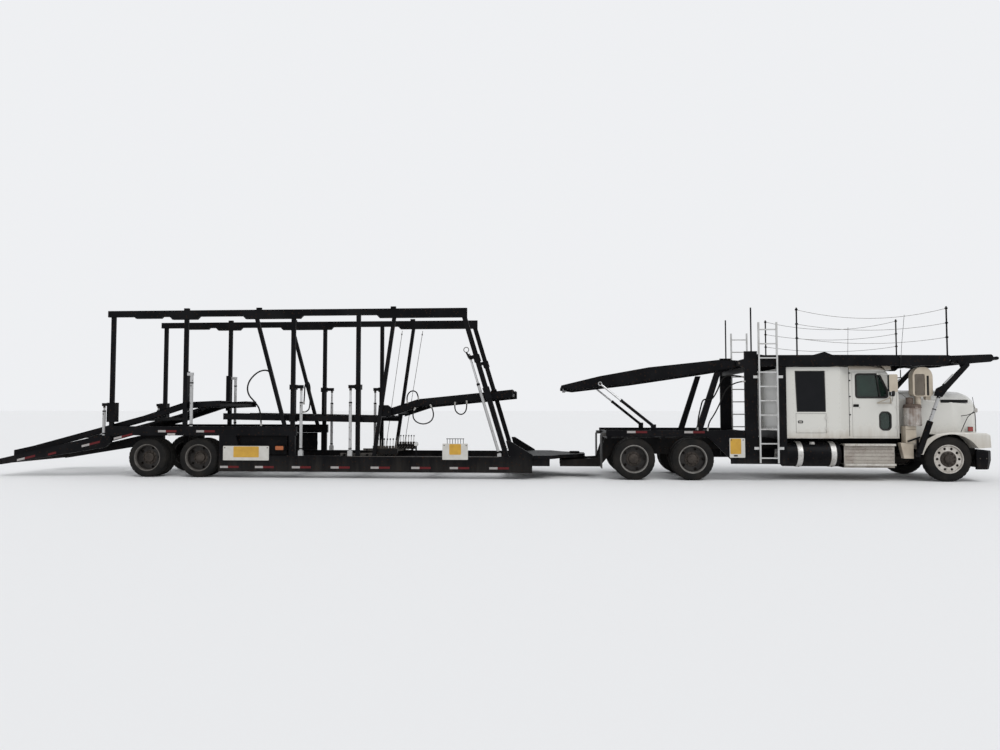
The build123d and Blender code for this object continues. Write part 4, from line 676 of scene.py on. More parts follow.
CAB_SIDE = 1020
WINDOW = [(-1905, 1870), (-1225, 1870), (-1225, 2010), (-1400, 2390), (-1905, 2390)]
PEEP = [(-1400, 1200), (-1340, 1140), (-1210, 1140), (-1160, 1200), (-1160, 1480), (-1220, 1540), (-1350, 1540),
        (-1400, 1480)]
SIDES = {"left": 1, "right": -1}
for side, sign in SIDES.items():
    gasket = Form("door_gaskets_" + side, sign)
    for outline, grow, corner in ((WINDOW, 24, 60), (PEEP, 16, 16)):
        frame_round(gasket, outline, grow, 14, (CAB_SIDE - 30, CAB_SIDE + 7), gasket_rubber, corner)
    vent_bar = [(-1398, 1880), (-1374, 1880), (-1448, 2380), (-1472, 2380)]
    gasket.plate(vent_bar, (CAB_SIDE - 24, CAB_SIDE + 2), gasket_rubber)
    gasket.done("door_" + side, edge=2)

# Doors are skinned panels riveted along their rear edge, with a black pull handle below the
# glass. Each carries a tall mirror in a cream shell on a tripod bracket. The whip aerial above
# it is clamped to the head rack, so that the door swings clear of it.
cream_shell = filmed("cream_shell", (0.52, 0.46, 0.37), (0.34, 0.28, 0.21), (6, 5), (0.35, 0.25),
                     bumps=(50, 2), depth=0.0008, coat_weight=0.3, coat_roughness=0.2)
mirror_glass = worn_metal("mirror_glass", (0.72, 0.74, 0.76), (0.55, 0.56, 0.57), 1.0, 0.03)
black_plastic = painted_steel("black_plastic", (0.012, 0.012, 0.012), (0.03, 0.03, 0.03), 0.5, 0.02)
for side, sign in SIDES.items():
    fit = Form("door_fittings_" + side, sign)
    face = CAB_SIDE
    fit.plate(rounded(oblong(-1975, -1850, 1655, 1715), 18), (face, face + 5), black_plastic)
    fit.tube([(-1962, face, 1700), (-1958, (face + 34), 1700), (-1866, (face + 34), 1700),
              (-1862, face, 1700)], 8, black_plastic)
    fit.lathe((-1835, face, 1640), [(0, 13), (6, 12), (6, 0.5)], flange_steel, 16)
    shell = rounded(oblong(-1296, -1114, 1984, 2376), 34)
    fit.plate(shell, (1208, 1292), cream_shell)
    fit.plate(oblong(-1300, -1294, 2000, 2360), (1212, 1290), gasket_rubber)
    fit.plate(oblong(-1303, -1299, 2010, 2350), (1218, 1284), mirror_glass)
    fit.lathe((-1200, 1250, 1955), [(-62, 0.5), (-60, 40), (-40, 66), (0, 72), (12, 70), (14, 0.5)],
              black_plastic, 24, axis="X")
    fit.lathe((-1264, 1250, 1955), [(-2, 0.5), (-2, 60), (4, 62), (4, 0.5)], mirror_glass, 24, axis="X")
    fit.tube([(-1450, 1034, 1742), (-1265, 1200, 1850), (-1190, 1240, 1990)], 11, cream_shell)
    fit.tube([(-1150, 1034, 1742), (-1240, 1190, 1850)], 11, cream_shell)
    fit.tube([(-1450, 1034, 1742), (-1150, 1034, 1742)], 9, cream_shell)
    base_x = -1190 if side == "left" else -1040
    lean = 30 if side == "left" else 110
    fit.tube([(base_x, 1268, 2300), (base_x, 1268, 2480)], 11, black_plastic)
    fit.tube([(base_x - 60, 1268, 2300), (base_x + 20, 1268, 2300)], 12, black_plastic)
    fit.done("door_" + side)
    whip = Form("aerial_" + side, sign)
    whip.tube([(base_x, 1270, 2500), (base_x + lean * 0.4, 1270, 3080),
               (base_x + lean, 1270, 3700)], 4.5, black_plastic, 6)
    whip.tube([(base_x, 1270, 2500), (base_x + lean * 0.2, 1270, 2800)], 8, black_plastic)
    whip.block((base_x - 14, base_x + 22), (1240, 1282), (2745, 2790), black_plastic)
    whip.done("head_rack")

# Panels of the cab and sleeper meet in rows of pressed aluminium rivets, with black hinges and
# a rubber seam behind the door. Five amber marker lamps stand on the roof in round housings.
trim_alloy = worn_metal("trim_alloy", (0.50, 0.48, 0.45), (0.24, 0.21, 0.18), 0.5, 0.35)
LENS_GRAIN = (160, 1, (1, 1, 0.1))
lens_amber = filmed("lens_amber", (0.40, 0.10, 0.010), (0.26, 0.06, 0.008), (30, 3), (0.18, 0.2),
                    (60, 2), LENS_GRAIN, coat_weight=0.5)
lens_red = filmed("lens_red", (0.34, 0.025, 0.015), (0.20, 0.015, 0.010), (30, 3), (0.2, 0.2),
                  (60, 2), LENS_GRAIN, coat_weight=0.5)
RIVET = [(-1, 7), (2, 5.95), (4, 2.1)]


seams = Form("cab_seams")
for x, y, low, high in ((-2045, 1020, 1010, 2500), (-3340, 1175, 1000, 2520),
                        (-2585, 1175, 1000, 2520), (-2330, 1175, 1000, 2520)):
    for z in range(low, high, 105):
        seams.lathe((x, y, z), RIVET, trim_alloy, 8)
for z in (1480, 1890, 2250, 2420):
    seams.block((-2062, -2028), (1018, 1028), (z - 14, z + 14), black_plastic)
seams.plate(oblong(-2068, -2060, 1000, 2540), (1015, 1024), gasket_rubber)
seams.block((-3488, -2320), (1170, 1181), (952, 966), trim_alloy)
seams.both_sides()
for y in (-760, -380, 0, 380, 760):
    seams.lathe((-1200, y, 2576), [(0, 46), (10, 44), (12, 36)], black_plastic, 20, axis="Z")
    seams.lathe((-1200, y, 2586), [(0, 36), (16, 30), (24, 14)], lens_amber, 20, axis="Z")
seams.done("truck")

# The sleeper's side panel is smoked sheet set in a shallow recess, and the locker hatch under
# it closes with a paddle latch.
smoked_sheet = filmed("smoked_sheet", (0.004, 0.005, 0.006), (0.009, 0.009, 0.011), (2.5, 4),
                      (0.22, 0.2), specular_ior_level=0.12)
panel = Form("sleeper_panels")
PANEL = [(-3296, 2464), (-3262, 1546), (-2632, 1546), (-2644, 2464)]
panel.plate(PANEL, (1166, 1173), smoked_sheet)
frame_round(panel, PANEL, 0, 18, (1166, 1177), gasket_rubber, 12)
panel.both_sides()
panel.done("truck", edge=2)
for side, sign in SIDES.items():
    latch = Form("locker_latch_" + side, sign)
    latch.plate(rounded(oblong(-3245, -3135, 1288, 1352), 24), (1173, 1180), black_plastic)
    latch.plate(rounded(oblong(-3230, -3160, 1300, 1340), 14), (1179, 1186), flange_steel)
    frame_round(latch, oblong(-3282, -2628, 1078, 1502), 0, 7, (1172, 1177.5), sleeper_paint, 20)
    latch.done("locker_hatch_" + side, edge=1.5)

# Ladders are welded from extruded aluminium, dull and water-stained.
# They stand against the posts in clips.
MILL_ALUMINIUM = (0.60, 0.60, 0.59)
DULL_ALUMINIUM = (0.33, 0.32, 0.30)


def aluminium_finish(name, grain):
    """Bare aluminium with a fine grain along one axis."""
    finish = Finish(name, metallic=0.85)
    lines = finish.noise(40, 2, grain)
    stains = finish.noise(3.5, 5)
    dull = finish.ramp(stains * 0.8 + lines * 0.3, 0.42, 0.85)
    finish.feed("Base Color", finish.blend(dull, MILL_ALUMINIUM, DULL_ALUMINIUM))
    finish.feed("Roughness", 0.34 + dull * 0.25)
    finish.relief(lines, 0.0006)
    return finish


dress(aluminium_finish("mill_aluminium", (1, 1, 0.03)), "ladders")

# Fuel tanks are black painted drums held by two bright straps with a bolted joint, and a
# screwed filler cap on the shoulder.
TANK_MIDDLE_Y, TANK_MIDDLE_Z, TANK_RADIUS = 880, 590, 280
strap_alloy = worn_metal("strap_alloy", (0.60, 0.59, 0.57), (0.34, 0.32, 0.29), 0.4, 0.35)
tanks = Form("tank_straps")
for x in (-3190, -2460):
    band = [(-58, TANK_RADIUS + 1), (-58, TANK_RADIUS + 8), (-44, TANK_RADIUS + 10), (44, TANK_RADIUS + 10),
            (58, TANK_RADIUS + 8), (58, TANK_RADIUS + 1)]
    tanks.lathe((x, TANK_MIDDLE_Y, TANK_MIDDLE_Z), band, strap_alloy, 56, axis="X", closed=True)
    tanks.block((x - 30, x + 30), (TANK_MIDDLE_Y + 70, TANK_MIDDLE_Y + 112), (322, 344), strap_alloy)
    tanks.tube([(x, TANK_MIDDLE_Y + 91, 300), (x, TANK_MIDDLE_Y + 91, 362)], 8, hub_iron)
cap = [(0, 62), (26, 62), (28, 56), (52, 55), (56, 48), (56, 12)]
tanks.lathe((-2900, TANK_MIDDLE_Y + 150, TANK_MIDDLE_Z + 225), cap, strap_alloy, 28, axis="Z")
tanks.both_sides()
tanks.done("truck", edge=1)

# Step boxes are ribbed aluminium sheet with two folded treads, and end plates riveted on.
step_alloy = worn_metal("step_alloy", (0.40, 0.37, 0.33), (0.23, 0.19, 0.16), 0.2, 0.45, 4)
tread_alloy = worn_metal("tread_alloy", (0.56, 0.54, 0.50), (0.36, 0.33, 0.28), 0.25, 0.4, 9)
steps = Form("step_boxes_ribbed")
wall = [(1112, 300), (1120, 300)]
for z in range(310, 780, 80):
    wall += [(1120, z), (1130, z + 6), (1130, z + 66), (1120, z + 72)]
wall += [(1120, 795), (1112, 795)]
steps.skin([[(x, y, z) for y, z in wall] for x in (-2240, -1150)], step_alloy)
steps.plate(oblong(-2240, -1150, 300, 795), (560, 1112), step_alloy)
for x in (-2240, -1156):
    steps.plate([(x, 300), (x + 6, 300), (x + 6, 795), (x, 795)], (700, 1134), tread_alloy)
for z in (350, 790):
    tray = [(1112, z), (1205, z), (1205, z + 45), (1198, z + 45), (1198, z + 38), (900, z + 38),
            (900, z + 30), (1112, z + 30)]
    steps.skin([[(x, y, level) for y, level in tray] for x in (-2245, -1145)], tread_alloy)
    for i in range(26):
        x = -2225 + i * 41.5
        steps.block((x, x + 24), (1122, 1196), (z + 38, z + 43), tread_alloy)
steps.block((-2200, -2140), (420, 562), (600, 680), running_gear)
steps.block((-1250, -1190), (420, 562), (600, 680), running_gear)
steps.both_sides()
steps.done("truck", "step_boxes", "aluminium")

# Air cleaners are polished steel canisters with clamp bands and a brown stained lid. Each is
# fed by a moulded cream intake with a mesh panel, over a cream box that hides its drain.
canister = Finish("canister_steel", metallic=0.55)
canister_brush = canister.noise(30, 3, (1, 1, 0.05))
canister_stain = canister.ramp(canister.noise(4, 4) + canister_brush * 0.4, 0.5, 0.95)
canister.feed("Base Color", canister.blend(canister_stain, (0.50, 0.47, 0.44), (0.20, 0.15, 0.12)))
canister.feed("Roughness", 0.24 + canister_stain * 0.3)
canister.relief(canister_brush, 0.0005)
lid_brown = worn_metal("lid_brown", (0.12, 0.085, 0.065), (0.045, 0.032, 0.026), 0.2, 0.45)
mesh_brown = worn_metal("mesh_brown", (0.040, 0.026, 0.022), (0.018, 0.012, 0.010), 0.1, 0.7)
cleaners = Form("air_cleaners_banded")
can = [(1230, 150), (1234, 176), (1246, 184), (1262, 184), (1264, 189), (1288, 189), (1290, 183),
       (1450, 183), (1452, 186), (1462, 186), (1464, 183), (1632, 183)]
lid = [(1632, 183), (1634, 189), (1658, 189), (1660, 182), (1700, 176), (1716, 150), (1720, 60)]
cleaners.lathe((-722, 1085, 0), can, canister, 64, axis="Z")
cleaners.lathe((-722, 1085, 0), lid, lid_brown, 64, axis="Z")
for x, z in ((-722, 1276), (-722, 1646)):
    cleaners.block((x - 30, x + 30), (1268, 1284), (z - 12, z + 12), canister)
pipe = [(1700, 75), (1704, 79), (1720, 79), (1722, 75), (1850, 75), (1866, 66), (1870, 30)]
cleaners.lathe((-780, 1085, 0), pipe, lid_brown, 32, axis="Z")
cleaners.lathe((-600, 1085, 0), [(1700, 66), (1884, 66)], cream_shell, 32, axis="Z")
cleaners.block((-770, -700), (880, 960), (1500, 1560), running_gear)
INTAKE_FACE = 1190
intake = rounded([(-745, 1885), (-315, 1885), (-315, 2400), (-420, 2540), (-640, 2540), (-745, 2400)], 90, 6)
cleaners.plate(intake, (985, INTAKE_FACE - 14), cream_shell)
hole_panel = rounded(oblong(-705, -485, 1905, 2385), 40, 4)
slot = rounded(oblong(-447, -395, 1905, 2350), 20, 4)
cleaners.pierced([intake, hole_panel, slot], (INTAKE_FACE - 14, INTAKE_FACE), cream_shell)
for z in range(1915, 2376, 23):
    cleaners.block((-700, -490), (INTAKE_FACE - 12, INTAKE_FACE - 6), (z, z + 7), mesh_brown)
for x in range(-690, -497, 24):
    cleaners.block((x, x + 6), (INTAKE_FACE - 14, INTAKE_FACE - 9), (1908, 2382), mesh_brown)
cleaners.block((-443, -399), (INTAKE_FACE - 13, INTAKE_FACE - 10), (1910, 2345), black_plastic)
cleaners.block((-455, -345), (1040, 1150), (1815, 1890), cream_shell)
under = rounded(oblong(-920, -690, 860, 1228), 16, 2)
cleaners.plate(under, (965, 1180), cream_shell)
cleaners.plate(oblong(-905, -705, 1150, 1156), (1170, 1184), black_plastic)
cleaners.plate([(-1020, 859), (-745, 859), (-745, 510), (-950, 510)], (1000, 1150), cream_shell)
for z in range(600, 785, 46):
    cleaners.block((-960, -770), (1148, 1156), (z, z + 10), cream_shell)
cleaners.both_sides()
cleaners.done("truck", "air_cleaners", "stainless", edge=1.5)

# The front bumper is folded steel plate swept back at its foot, painted black. It is bolted to
# two brackets from the chassis, and has two round driving lamps let into its face.
lens_clear = filmed("lens_clear", (0.62, 0.63, 0.62), (0.35, 0.35, 0.33), (25, 3), (0.08, 0.15),
                    (40, 2), (140, 1, (1, 0.1, 1)), 0.0012, coat_weight=0.8)
head_chrome = worn_metal("head_chrome", (0.70, 0.70, 0.70), (0.42, 0.40, 0.37), 0.9, 0.14)
brow = Form("bumper_swept")
bumper_plan = [(560, 1205), (820, 1190), (945, 1060), (1000, 500), (1000, 0)]
bumper_inner = [(560, 1150), (800, 1138), (895, 1030), (940, 500), (940, 0)]
loop = bumper_plan + [(x, -y) for x, y in reversed(bumper_plan[:-1])]
back_loop = bumper_inner + [(x, -y) for x, y in reversed(bumper_inner[:-1])]
rings = []
for outline, z, inset in ((loop, 690, 14), (loop, 668, 0), (loop, 480, 0), (loop, 280, 58),
                          (back_loop, 280, 40), (back_loop, 690, 0)):
    rings.append([(x - inset * (x - 560) / 440, y, z) for x, y in outline])
brow.skin(rings + rings[:1], structure, closed=False, caps=False)
for y in (-420, 420):
    brow.block((505, 945), (y - 35, y + 35), (440, 600), running_gear)
for y in (-640, 640):
    brow.lathe((977, y, 560), [(-16, 78), (10, 80), (16, 74), (12, 66)], head_chrome, 36, axis="X")
    brow.lathe((977, y, 560), [(-4, 67), (11, 60), (15, 30), (16, 0.5)], lens_clear, 36, axis="X")
for x, y in ((640, 1203), (780, 1195)):
    for sign in SIDES.values():
        bolt = [(-3 * sign, 14), (5 * sign, 13), (7 * sign, 8)]
        brow.lathe((x, sign * y, 520), bolt, hub_iron, 12)
brow.done("truck", "front_bumper", "black_paint")

# The bonnet is moulded panels in white. Square headlamps stand in pairs beside the grille, a black
# strip in the outlet recess along each flank is painted shade under the crown's edge, and small mirrors stand
# on the wings.
black_sheet_and_shade = painted_steel("black_sheet_and_shade", (0.006, 0.006, 0.006), (0.02, 0.02, 0.02), 0.4, 0.02)
nose = Form("bonnet_fittings")
# Black strip along each flank: painted shade in the crease under the bonnet's crown.
crown_shade_strip = [(6, 868), (250, 846), (500, 782), (664, 732), (664, 716), (500, 766), (250, 830), (6, 852)]
nose.skin([[(x, y, z) for x, y in crown_shade_strip] for z in (1750, 1820)], black_sheet_and_shade)
nose.plate(rounded(oblong(600, 716, 1100, 1210), 14), (808, 818), black_plastic)
nose.plate(rounded(oblong(608, 708, 1108, 1202), 12), (817, 826), lens_red)
for z in (1200, 1332):
    nose.block((878, 897), (488, 612), (z - 62, z + 62), head_chrome)
    nose.block((894, 903), (500, 600), (z - 50, z + 50), lens_clear)
nose.tube([(790, 690, 1880), (850, 652, 1620), (872, 640, 1400), (876, 638, 1095)], 6, black_plastic, 6)
nose.tube([(310, 1085, 1098), (400, 1040, 1250), (560, 905, 1430)], 8, black_plastic)
nose.tube([(470, 760, 1450), (560, 860, 1468), (700, 930, 1532)], 8, black_plastic)
nose.tube([(560, 905, 1430), (690, 930, 1560)], 8, black_plastic)
mirror_shell = rounded(oblong(680, 740, 1530, 1630), 26)
nose.plate(mirror_shell, (916, 972), trim_alloy)
nose.plate(oblong(676, 680.5, 1540, 1620), (922, 966), mirror_glass)
inner_wing = [(-640, 760), (-560, 700), (420, 700), (520, 560), (860, 560), (860, 1060), (-640, 1060)]
nose.plate(inner_wing, (600, 606), black_sheet_and_shade)
nose.both_sides()
nose.done("hood", edge=0.8)
bars = Form("grille_barred")
bars.plate(oblong(854, 892, 1075, 1095), (-470, 470), head_chrome)
bars.plate(oblong(854, 892, 1780, 1800), (-470, 470), head_chrome)
for y in (-470, 450):
    bars.plate(oblong(854, 892, 1075, 1800), (y, y + 20), head_chrome)
for i in range(23):
    y = -432 + i * 38.5
    bars.plate(oblong(862, 890, 1090, 1785), (y, y + 9), head_chrome)
bars.plate(oblong(856, 859, 1090, 1785), (-455, 455), black_sheet_and_shade)
bars.done(HOME["grille"], "grille", "grille")

# Cylinder barrels are enamelled tubes with bolted end caps, and their rods are hard chrome.
# Those that raise the rack stand in a square black tube and push a cranked black bar.
rod_chrome = worn_metal("rod_chrome", (0.68, 0.68, 0.69), (0.42, 0.41, 0.39), 0.9, 0.16, 5)
silver_enamel = painted_steel("silver_enamel", (0.42, 0.42, 0.42), (0.34, 0.335, 0.33), 0.6, 0.05)
LEG_FOOT, LEG_KNEE, LEG_SIDE = (-700, 590), (-190, 2000), 1258


def along_line(start, end, distance):
    """Point (x, z) at a distance from start toward end."""
    length = hypot(end[0] - start[0], end[1] - start[1])
    return tuple(a + (b - a) * distance / length for a, b in zip(start, end))


def slanted_tube(form, start, end, y, reach, radius, finish, sides=20):
    spots = [along_line(start, end, distance) for distance in reach]
    form.tube([(x, y, z) for x, z in spots], radius, finish, sides)


leg_skin = Form("leg_barrel_sleeves")
slanted_tube(leg_skin, LEG_FOOT, LEG_KNEE, LEG_SIDE, (799, 1340), 37.6, silver_enamel)
slanted_tube(leg_skin, LEG_FOOT, LEG_KNEE, LEG_SIDE, (1336, 1366), 40, structure, 8)
slanted_tube(leg_skin, LEG_FOOT, LEG_KNEE, LEG_SIDE, (1060, 1084), 41, structure, 20)
leg_skin.both_sides()
leg_skin.done("rack_leg_barrels")
rod_skin = Form("leg_rod_sleeves")
slanted_tube(rod_skin, LEG_FOOT, LEG_KNEE, LEG_SIDE, (1370, 1440), 26.6, rod_chrome)
stay_low = (-140, 2130)
slanted_tube(rod_skin, stay_low, (290, 2580), LEG_SIDE, (40, 329), 20.6, rod_chrome)
eye = [(-30, 30), (-30, 48), (-23, 50), (23, 50), (30, 48), (30, 30)]
rod_skin.lathe((380, LEG_SIDE, 2580), eye, structure, 24)
rod_skin.both_sides()
rod_skin.done("rack_leg_rods")
dress(rod_chrome, "arm_rods")
dress(silver_enamel, "lift_barrels")
arm_skin = Form("arm_glands")
for reach, radius in (((905, 949), 40), ((60, 90), 38)):
    slanted_tube(arm_skin, (-6450, 1215), (-7650, 2185), 1235, reach, radius, structure, 8)
arm_skin.both_sides()
arm_skin.done("deck_arm_barrels")

# Lift cylinders stand beside their posts, each rod pinned under a black head plate with a nut.
# The barrels are painted steel tubes with a collar at each end and a threaded port near the top.
LIFT_SIDE = 1225
FRONT_LOW, FRONT_HIGH = (-9940, 520), (-10910, 3730)
middle_rods = Form("middle_rod_sleeves")
for x in (-14600, -13430):
    middle_rods.lathe((x, LIFT_SIDE, 0), [(1782, 24.6), (2088, 24.6)], rod_chrome, 24, axis="Z")
    middle_rods.lathe((x, LIFT_SIDE, 0), [(2040, 32), (2086, 32), (2088, 26)], hub_iron, 6, axis="Z")
middle_rods.both_sides()
middle_rods.done("middle_platform")
rear_rods = Form("rear_rod_sleeves")
rear_rods.lathe((-19390, LIFT_SIDE, 0), [(1582, 24.6), (1678, 24.6)], rod_chrome, 24, axis="Z")
rear_rods.lathe((-19390, LIFT_SIDE, 0), [(1640, 32), (1678, 32)], hub_iron, 6, axis="Z")
rear_rods.both_sides()
rear_rods.done("rear_carriages")


def on_front(z):
    share = (z - FRONT_LOW[1]) / (FRONT_HIGH[1] - FRONT_LOW[1])
    return (FRONT_LOW[0] + (FRONT_HIGH[0] - FRONT_LOW[0]) * share, LIFT_SIDE, z)


front_rods = Form("front_rod_sleeves")
front_rods.tube([on_front(2206), on_front(2860)], 24.6, rod_chrome, 24)
front_rods.tube([on_front(2800), on_front(2846)], 32, hub_iron, 6)
front_rods.both_sides()
front_rods.done("front_carriages")
glands = Form("lift_glands")
for x, low, high in ((-14600, 640, 1780), (-13430, 640, 1780), (-17250, 1200, 2250),
                     (-19390, 985, 1580)):
    for z, size in ((high - 38, 40), (low + 30, 39)):
        collar = [(z, size - 3), (z + 3, size), (z + 26, size), (z + 30, size - 3)]
        glands.lathe((x, LIFT_SIDE, 0), collar, structure, 24, axis="Z")
    glands.lathe((x, LIFT_SIDE + 36, high - 90), [(-4, 13), (10, 13), (12, 9), (26, 9)], hub_iron, 6)
glands.tube([on_front(2150), on_front(2196)], 40, structure, 20)
glands.tube([on_front(600), on_front(640)], 39, structure, 20)
glands.both_sides()
glands.done("trailer")

# Flat steel cleats are welded across the wheel tracks of the head rack, so that tyres grip in
# the wet. The tracks rise slightly towards the nose.
cleats = Form("rack_cleats")
for x in range(-4060, 871, 170):
    z = 2760 + max(0, x - 30) * 0.0412
    cleats.block((x - 18, x + 18), (472, 1028), (z - 5, z + 12), structure)
cleats.both_sides()
cleats.done("head_rack")

# Guard wires are steel rope strung between the poles along both edges of the rack, each held
# in a clip on every pole.
wire_rope = worn_metal("wire_rope", (0.20, 0.19, 0.18), (0.08, 0.07, 0.06), 0.6, 0.45, 20)
POLE_SIDE = 1212.5
wires = Form("guard_wires")
for level, sag in ((3845, 210), (3520, 150), (3200, 130)):
    spots = []
    for i in range(13):
        share = i / 12
        spots.append((-3250 + 3250 * share, POLE_SIDE - 24, level - sag * 4 * share * (1 - share)))
    wires.tube(spots, 5, wire_rope, 6)
    for x in (-3250, 0):
        clip = [(level - 16, 25), (level - 16, 31), (level + 16, 31), (level + 16, 25)]
        wires.lathe((x, POLE_SIDE, 0), clip, structure, 14, axis="Z", closed=True)
        wires.block((x - 9, x + 9), (POLE_SIDE - 36, POLE_SIDE - 22), (level - 10, level + 10), hub_iron)
wires.both_sides()
wires.done("head_rack")

# Conspicuity tape in white and red is stuck in short runs along the sills and side frames.
# It is prismatic sheet, dull with road film.
tape_white = filmed("tape_white", (0.42, 0.40, 0.39), (0.24, 0.22, 0.21), (18, 4), (0.3, 0.3),
                    depth=0, specular_ior_level=0.6)
tape_red = filmed("tape_red", (0.13, 0.008, 0.011), (0.06, 0.007, 0.008), (18, 4), (0.35, 0.3),
                  depth=0, specular_ior_level=0.22)
for sheet in (tape_white, tape_red):
    sheet.relief(sheet.cells(260), 0.0004)
WHITE_RUN, RED_RUN, TAPE_HIGH = 190, 260, 50


def tape(form, x, z, face, slope=0, white=WHITE_RUN, red=RED_RUN):
    """White then red run of tape starting at x, centred on z, on the plane y = face."""
    start, half = x, TAPE_HIGH / 2
    for run, finish in ((white, tape_white), (red, tape_red)):
        if run:
            end = start + run
            low, high = z + slope * (start - x), z + slope * (end - x)
            outline = [(start, low - half), (end, high - half), (end, high + half), (start, low + half)]
            form.plate(outline, (face, face + 1.5), finish)
            start = end


tapes = Form("trailer_tape")
for x in (-16510, -15670, -14790, -13870, -12930, -11980, -11090, -10180):
    tape(tapes, x, 255, 1270)
tape(tapes, -18030, 1085, 1270)
tape(tapes, -17100, 1085, 1270)
tape(tapes, -19110, 905, 1270, 0.24)
tape(tapes, -19900, 725, 1270, 0.24)
tape(tapes, -20730, 525, 1270, 0.24, 0, 200)
tape(tapes, -21500, 388, 1270, 0.24)
tape(tapes, -17800, 1012, 1270, 0, 190, 0)
tapes.both_sides()
tapes.done("trailer")
truck_tape = Form("truck_tape")
tape(truck_tape, -7050, 1088, 1245)
tape(truck_tape, -5770, 1088, 1245)
truck_tape.both_sides()
truck_tape.done("truck")

# Blank plates are white sheet with a worn yellow panel in the middle, bolted to brackets.
# Two stand on the trailer's right side, and one on the truck's.
plate_white = filmed("plate_white", (0.62, 0.61, 0.57), (0.42, 0.40, 0.36), (7, 4), (0.35, 0.3),
                     coat_weight=0.2)
plate_yellow = filmed("plate_yellow", (0.62, 0.36, 0.03), (0.40, 0.21, 0.02), (9, 4), (0.4, 0.3),
                      coat_weight=0.2)


def blank_plate(form, x_range, z_range, face, yellow_x, yellow_z):
    form.plate(rounded(oblong(*x_range, *z_range), 18, 3), (face - 4, face), plate_white)
    form.plate(rounded(oblong(*yellow_x, *yellow_z), 24, 3), (face - 5.2, face - 3.9), plate_yellow)
    for x in (x_range[0] + 40, x_range[1] - 40):
        form.lathe((x, face - 4, z_range[1] - 40), [(1, 14), (-4, 13), (-6, 7)], hub_iron, 12)


signs = Form("trailer_plates")
blank_plate(signs, (-16440, -15340), (410, 745), -1272, (-16190, -15580), (480, 735))
blank_plate(signs, (-11260, -10670), (445, 815), -1272, (-11100, -10830), (560, 805))
for x in (-16390, -15420, -11190, -10760):
    signs.block((x - 20, x + 20), (-1272, -1235), (400, 700), structure)
for x in range(-11150, -10777, 62):
    signs.block((x - 6, x + 6), (-1268, -1256), (800, 930), structure)
signs.block((-11170, -10760), (-1268, -1256), (918, 932), structure)
signs.done("trailer")
truck_sign = Form("truck_plate")
blank_plate(truck_sign, (-4775, -4434), (520, 955), -1246, (-4760, -4520), (600, 945))
truck_sign.plate(oblong(-4680, -4600, 545, 580), (-1252, -1249.8), hub_iron)
truck_sign.done("truck")

# The step between low and raised deck is closed by a pressed steel side panel with slots, and a
# pale strip on the sill's upper edge is a painted highlight. A bank of hand valves stands inside
# each sill, fed by clipped steel pipes. A work lamp stands on a strap on the right.
panels = Form("step_panels")
panels.plate(oblong(-16140, -14960, 522, 984), (1160, 1166), structure)
for x in range(-15980, -15459, 52):
    panels.block((x, x + 22), (1165, 1173), (700, 850), structure)
for z in (530, 975):
    panels.block((-16140, -14960), (1130, 1166), (z - 6, z + 6), structure)
# Painted highlight: a pale strip where the sill's upper edge catches the light.
panels.block((-13480, -9960), (1266, 1271), (508, 516), dull_flange)
panels.both_sides()
panels.done("trailer")
valves = Form("valve_banks")
valves.block((-12830, -12330), (1090, 1160), (560, 690), running_gear)
for i in range(7):
    x = -12790 + i * 70
    valves.block((x - 22, x + 22), (1084, 1166), (690, 752), hub_iron)
    valves.tube([(x, 1125, 750), (x + 6, 1130, 900)], 7, flange_steel)
    knob = [(-10, 8), (-4, 17), (12, 19), (26, 12), (28, 3)]
    valves.lathe((x + 6, 1130, 900), knob, black_plastic, 12, axis="Z")
    valves.tube([(x, 1084, 640), (x - 20, 1060, 610), (x - 60, 1058, 585 - i * 8), (x - 420, 1066, 570 - i * 9),
                 (-13700, 1066, 570 - i * 9)], 8, dull_flange, 6)
for x in (-13600, -13050, -12600, -12400):
    valves.block((x - 18, x + 18), (1040, 1172), (522, 560), structure)
valves.both_sides()
valves.lathe((-11886, -1180, 800), [(10, 50), (-14, 50), (-20, 45), (-14, 42)], head_chrome, 28)
valves.lathe((-11886, -1180, 800), [(-10, 43), (-15, 20), (-16, 0.5)], lens_clear, 28)
valves.block((-11904, -11868), (-1190, -1172), (500, 800), structure)
valves.done("trailer")

# Marker lamps are amber lenses on folded brackets at the step. Three round red ones in rubber
# rings are let into a plate at each side of the raised deck's end.
lamps = Form("trailer_lamps")
lamps.plate(rounded(oblong(-15205, -14985, 640, 760), 20), (1172, 1262), structure)
lamps.plate(rounded(oblong(-15190, -15000, 655, 745), 20), (1261, 1270), lens_amber)
for y in (1215, 1140, 1065):
    lamps.lathe((-19334, y, 1092), [(4, 40), (-6, 42), (-10, 36)], gasket_rubber, 24, axis="X")
    lamps.lathe((-19342, y, 1092), [(0, 34), (-8, 28), (-10, 0.5)], lens_red, 24, axis="X")
lamps.block((-19334, -19326), (1010, 1262), (1040, 1145), structure)
lamps.both_sides()
lamps.done("trailer")

# Hydraulic hoses are black rubber over braid. They leave clamps on the frames in free loops
# that let the decks move, and end in steel fittings on a rail or a cylinder.
hose_rubber = filmed("hose_rubber", (0.004, 0.004, 0.004), (0.012, 0.011, 0.010), (12, 4), (0.5, 0.3),
                     bumps=(400, 1), depth=0.0004, specular_ior_level=0.12)
HOSE_THICK = 36


def spline_length(points, order=3, steps=240):
    """Length of the smooth curve that an order 3 spline draws through its points."""
    count = len(points)
    knots = [0] * order + [i + 1 for i in range(count - order)] + [count - order + 1] * order
    last = None
    total = 0
    for step in range(steps + 1):
        t = (count - order + 1) * min(step / steps, 0.999999)
        span = int(t) + order - 1
        spots = [Vector(points[span - order + 1 + j]) for j in range(order)]
        for level in range(1, order):
            for j in range(order - 1, level - 1, -1):
                i = span - order + 1 + j
                low, high = knots[i], knots[i + order - level]
                share = (t - low) / (high - low)
                spots[j] = spots[j - 1] * (1 - share) + spots[j] * share
        if last is not None:
            total += (spots[-1] - last).length
        last = spots[-1]
    return total


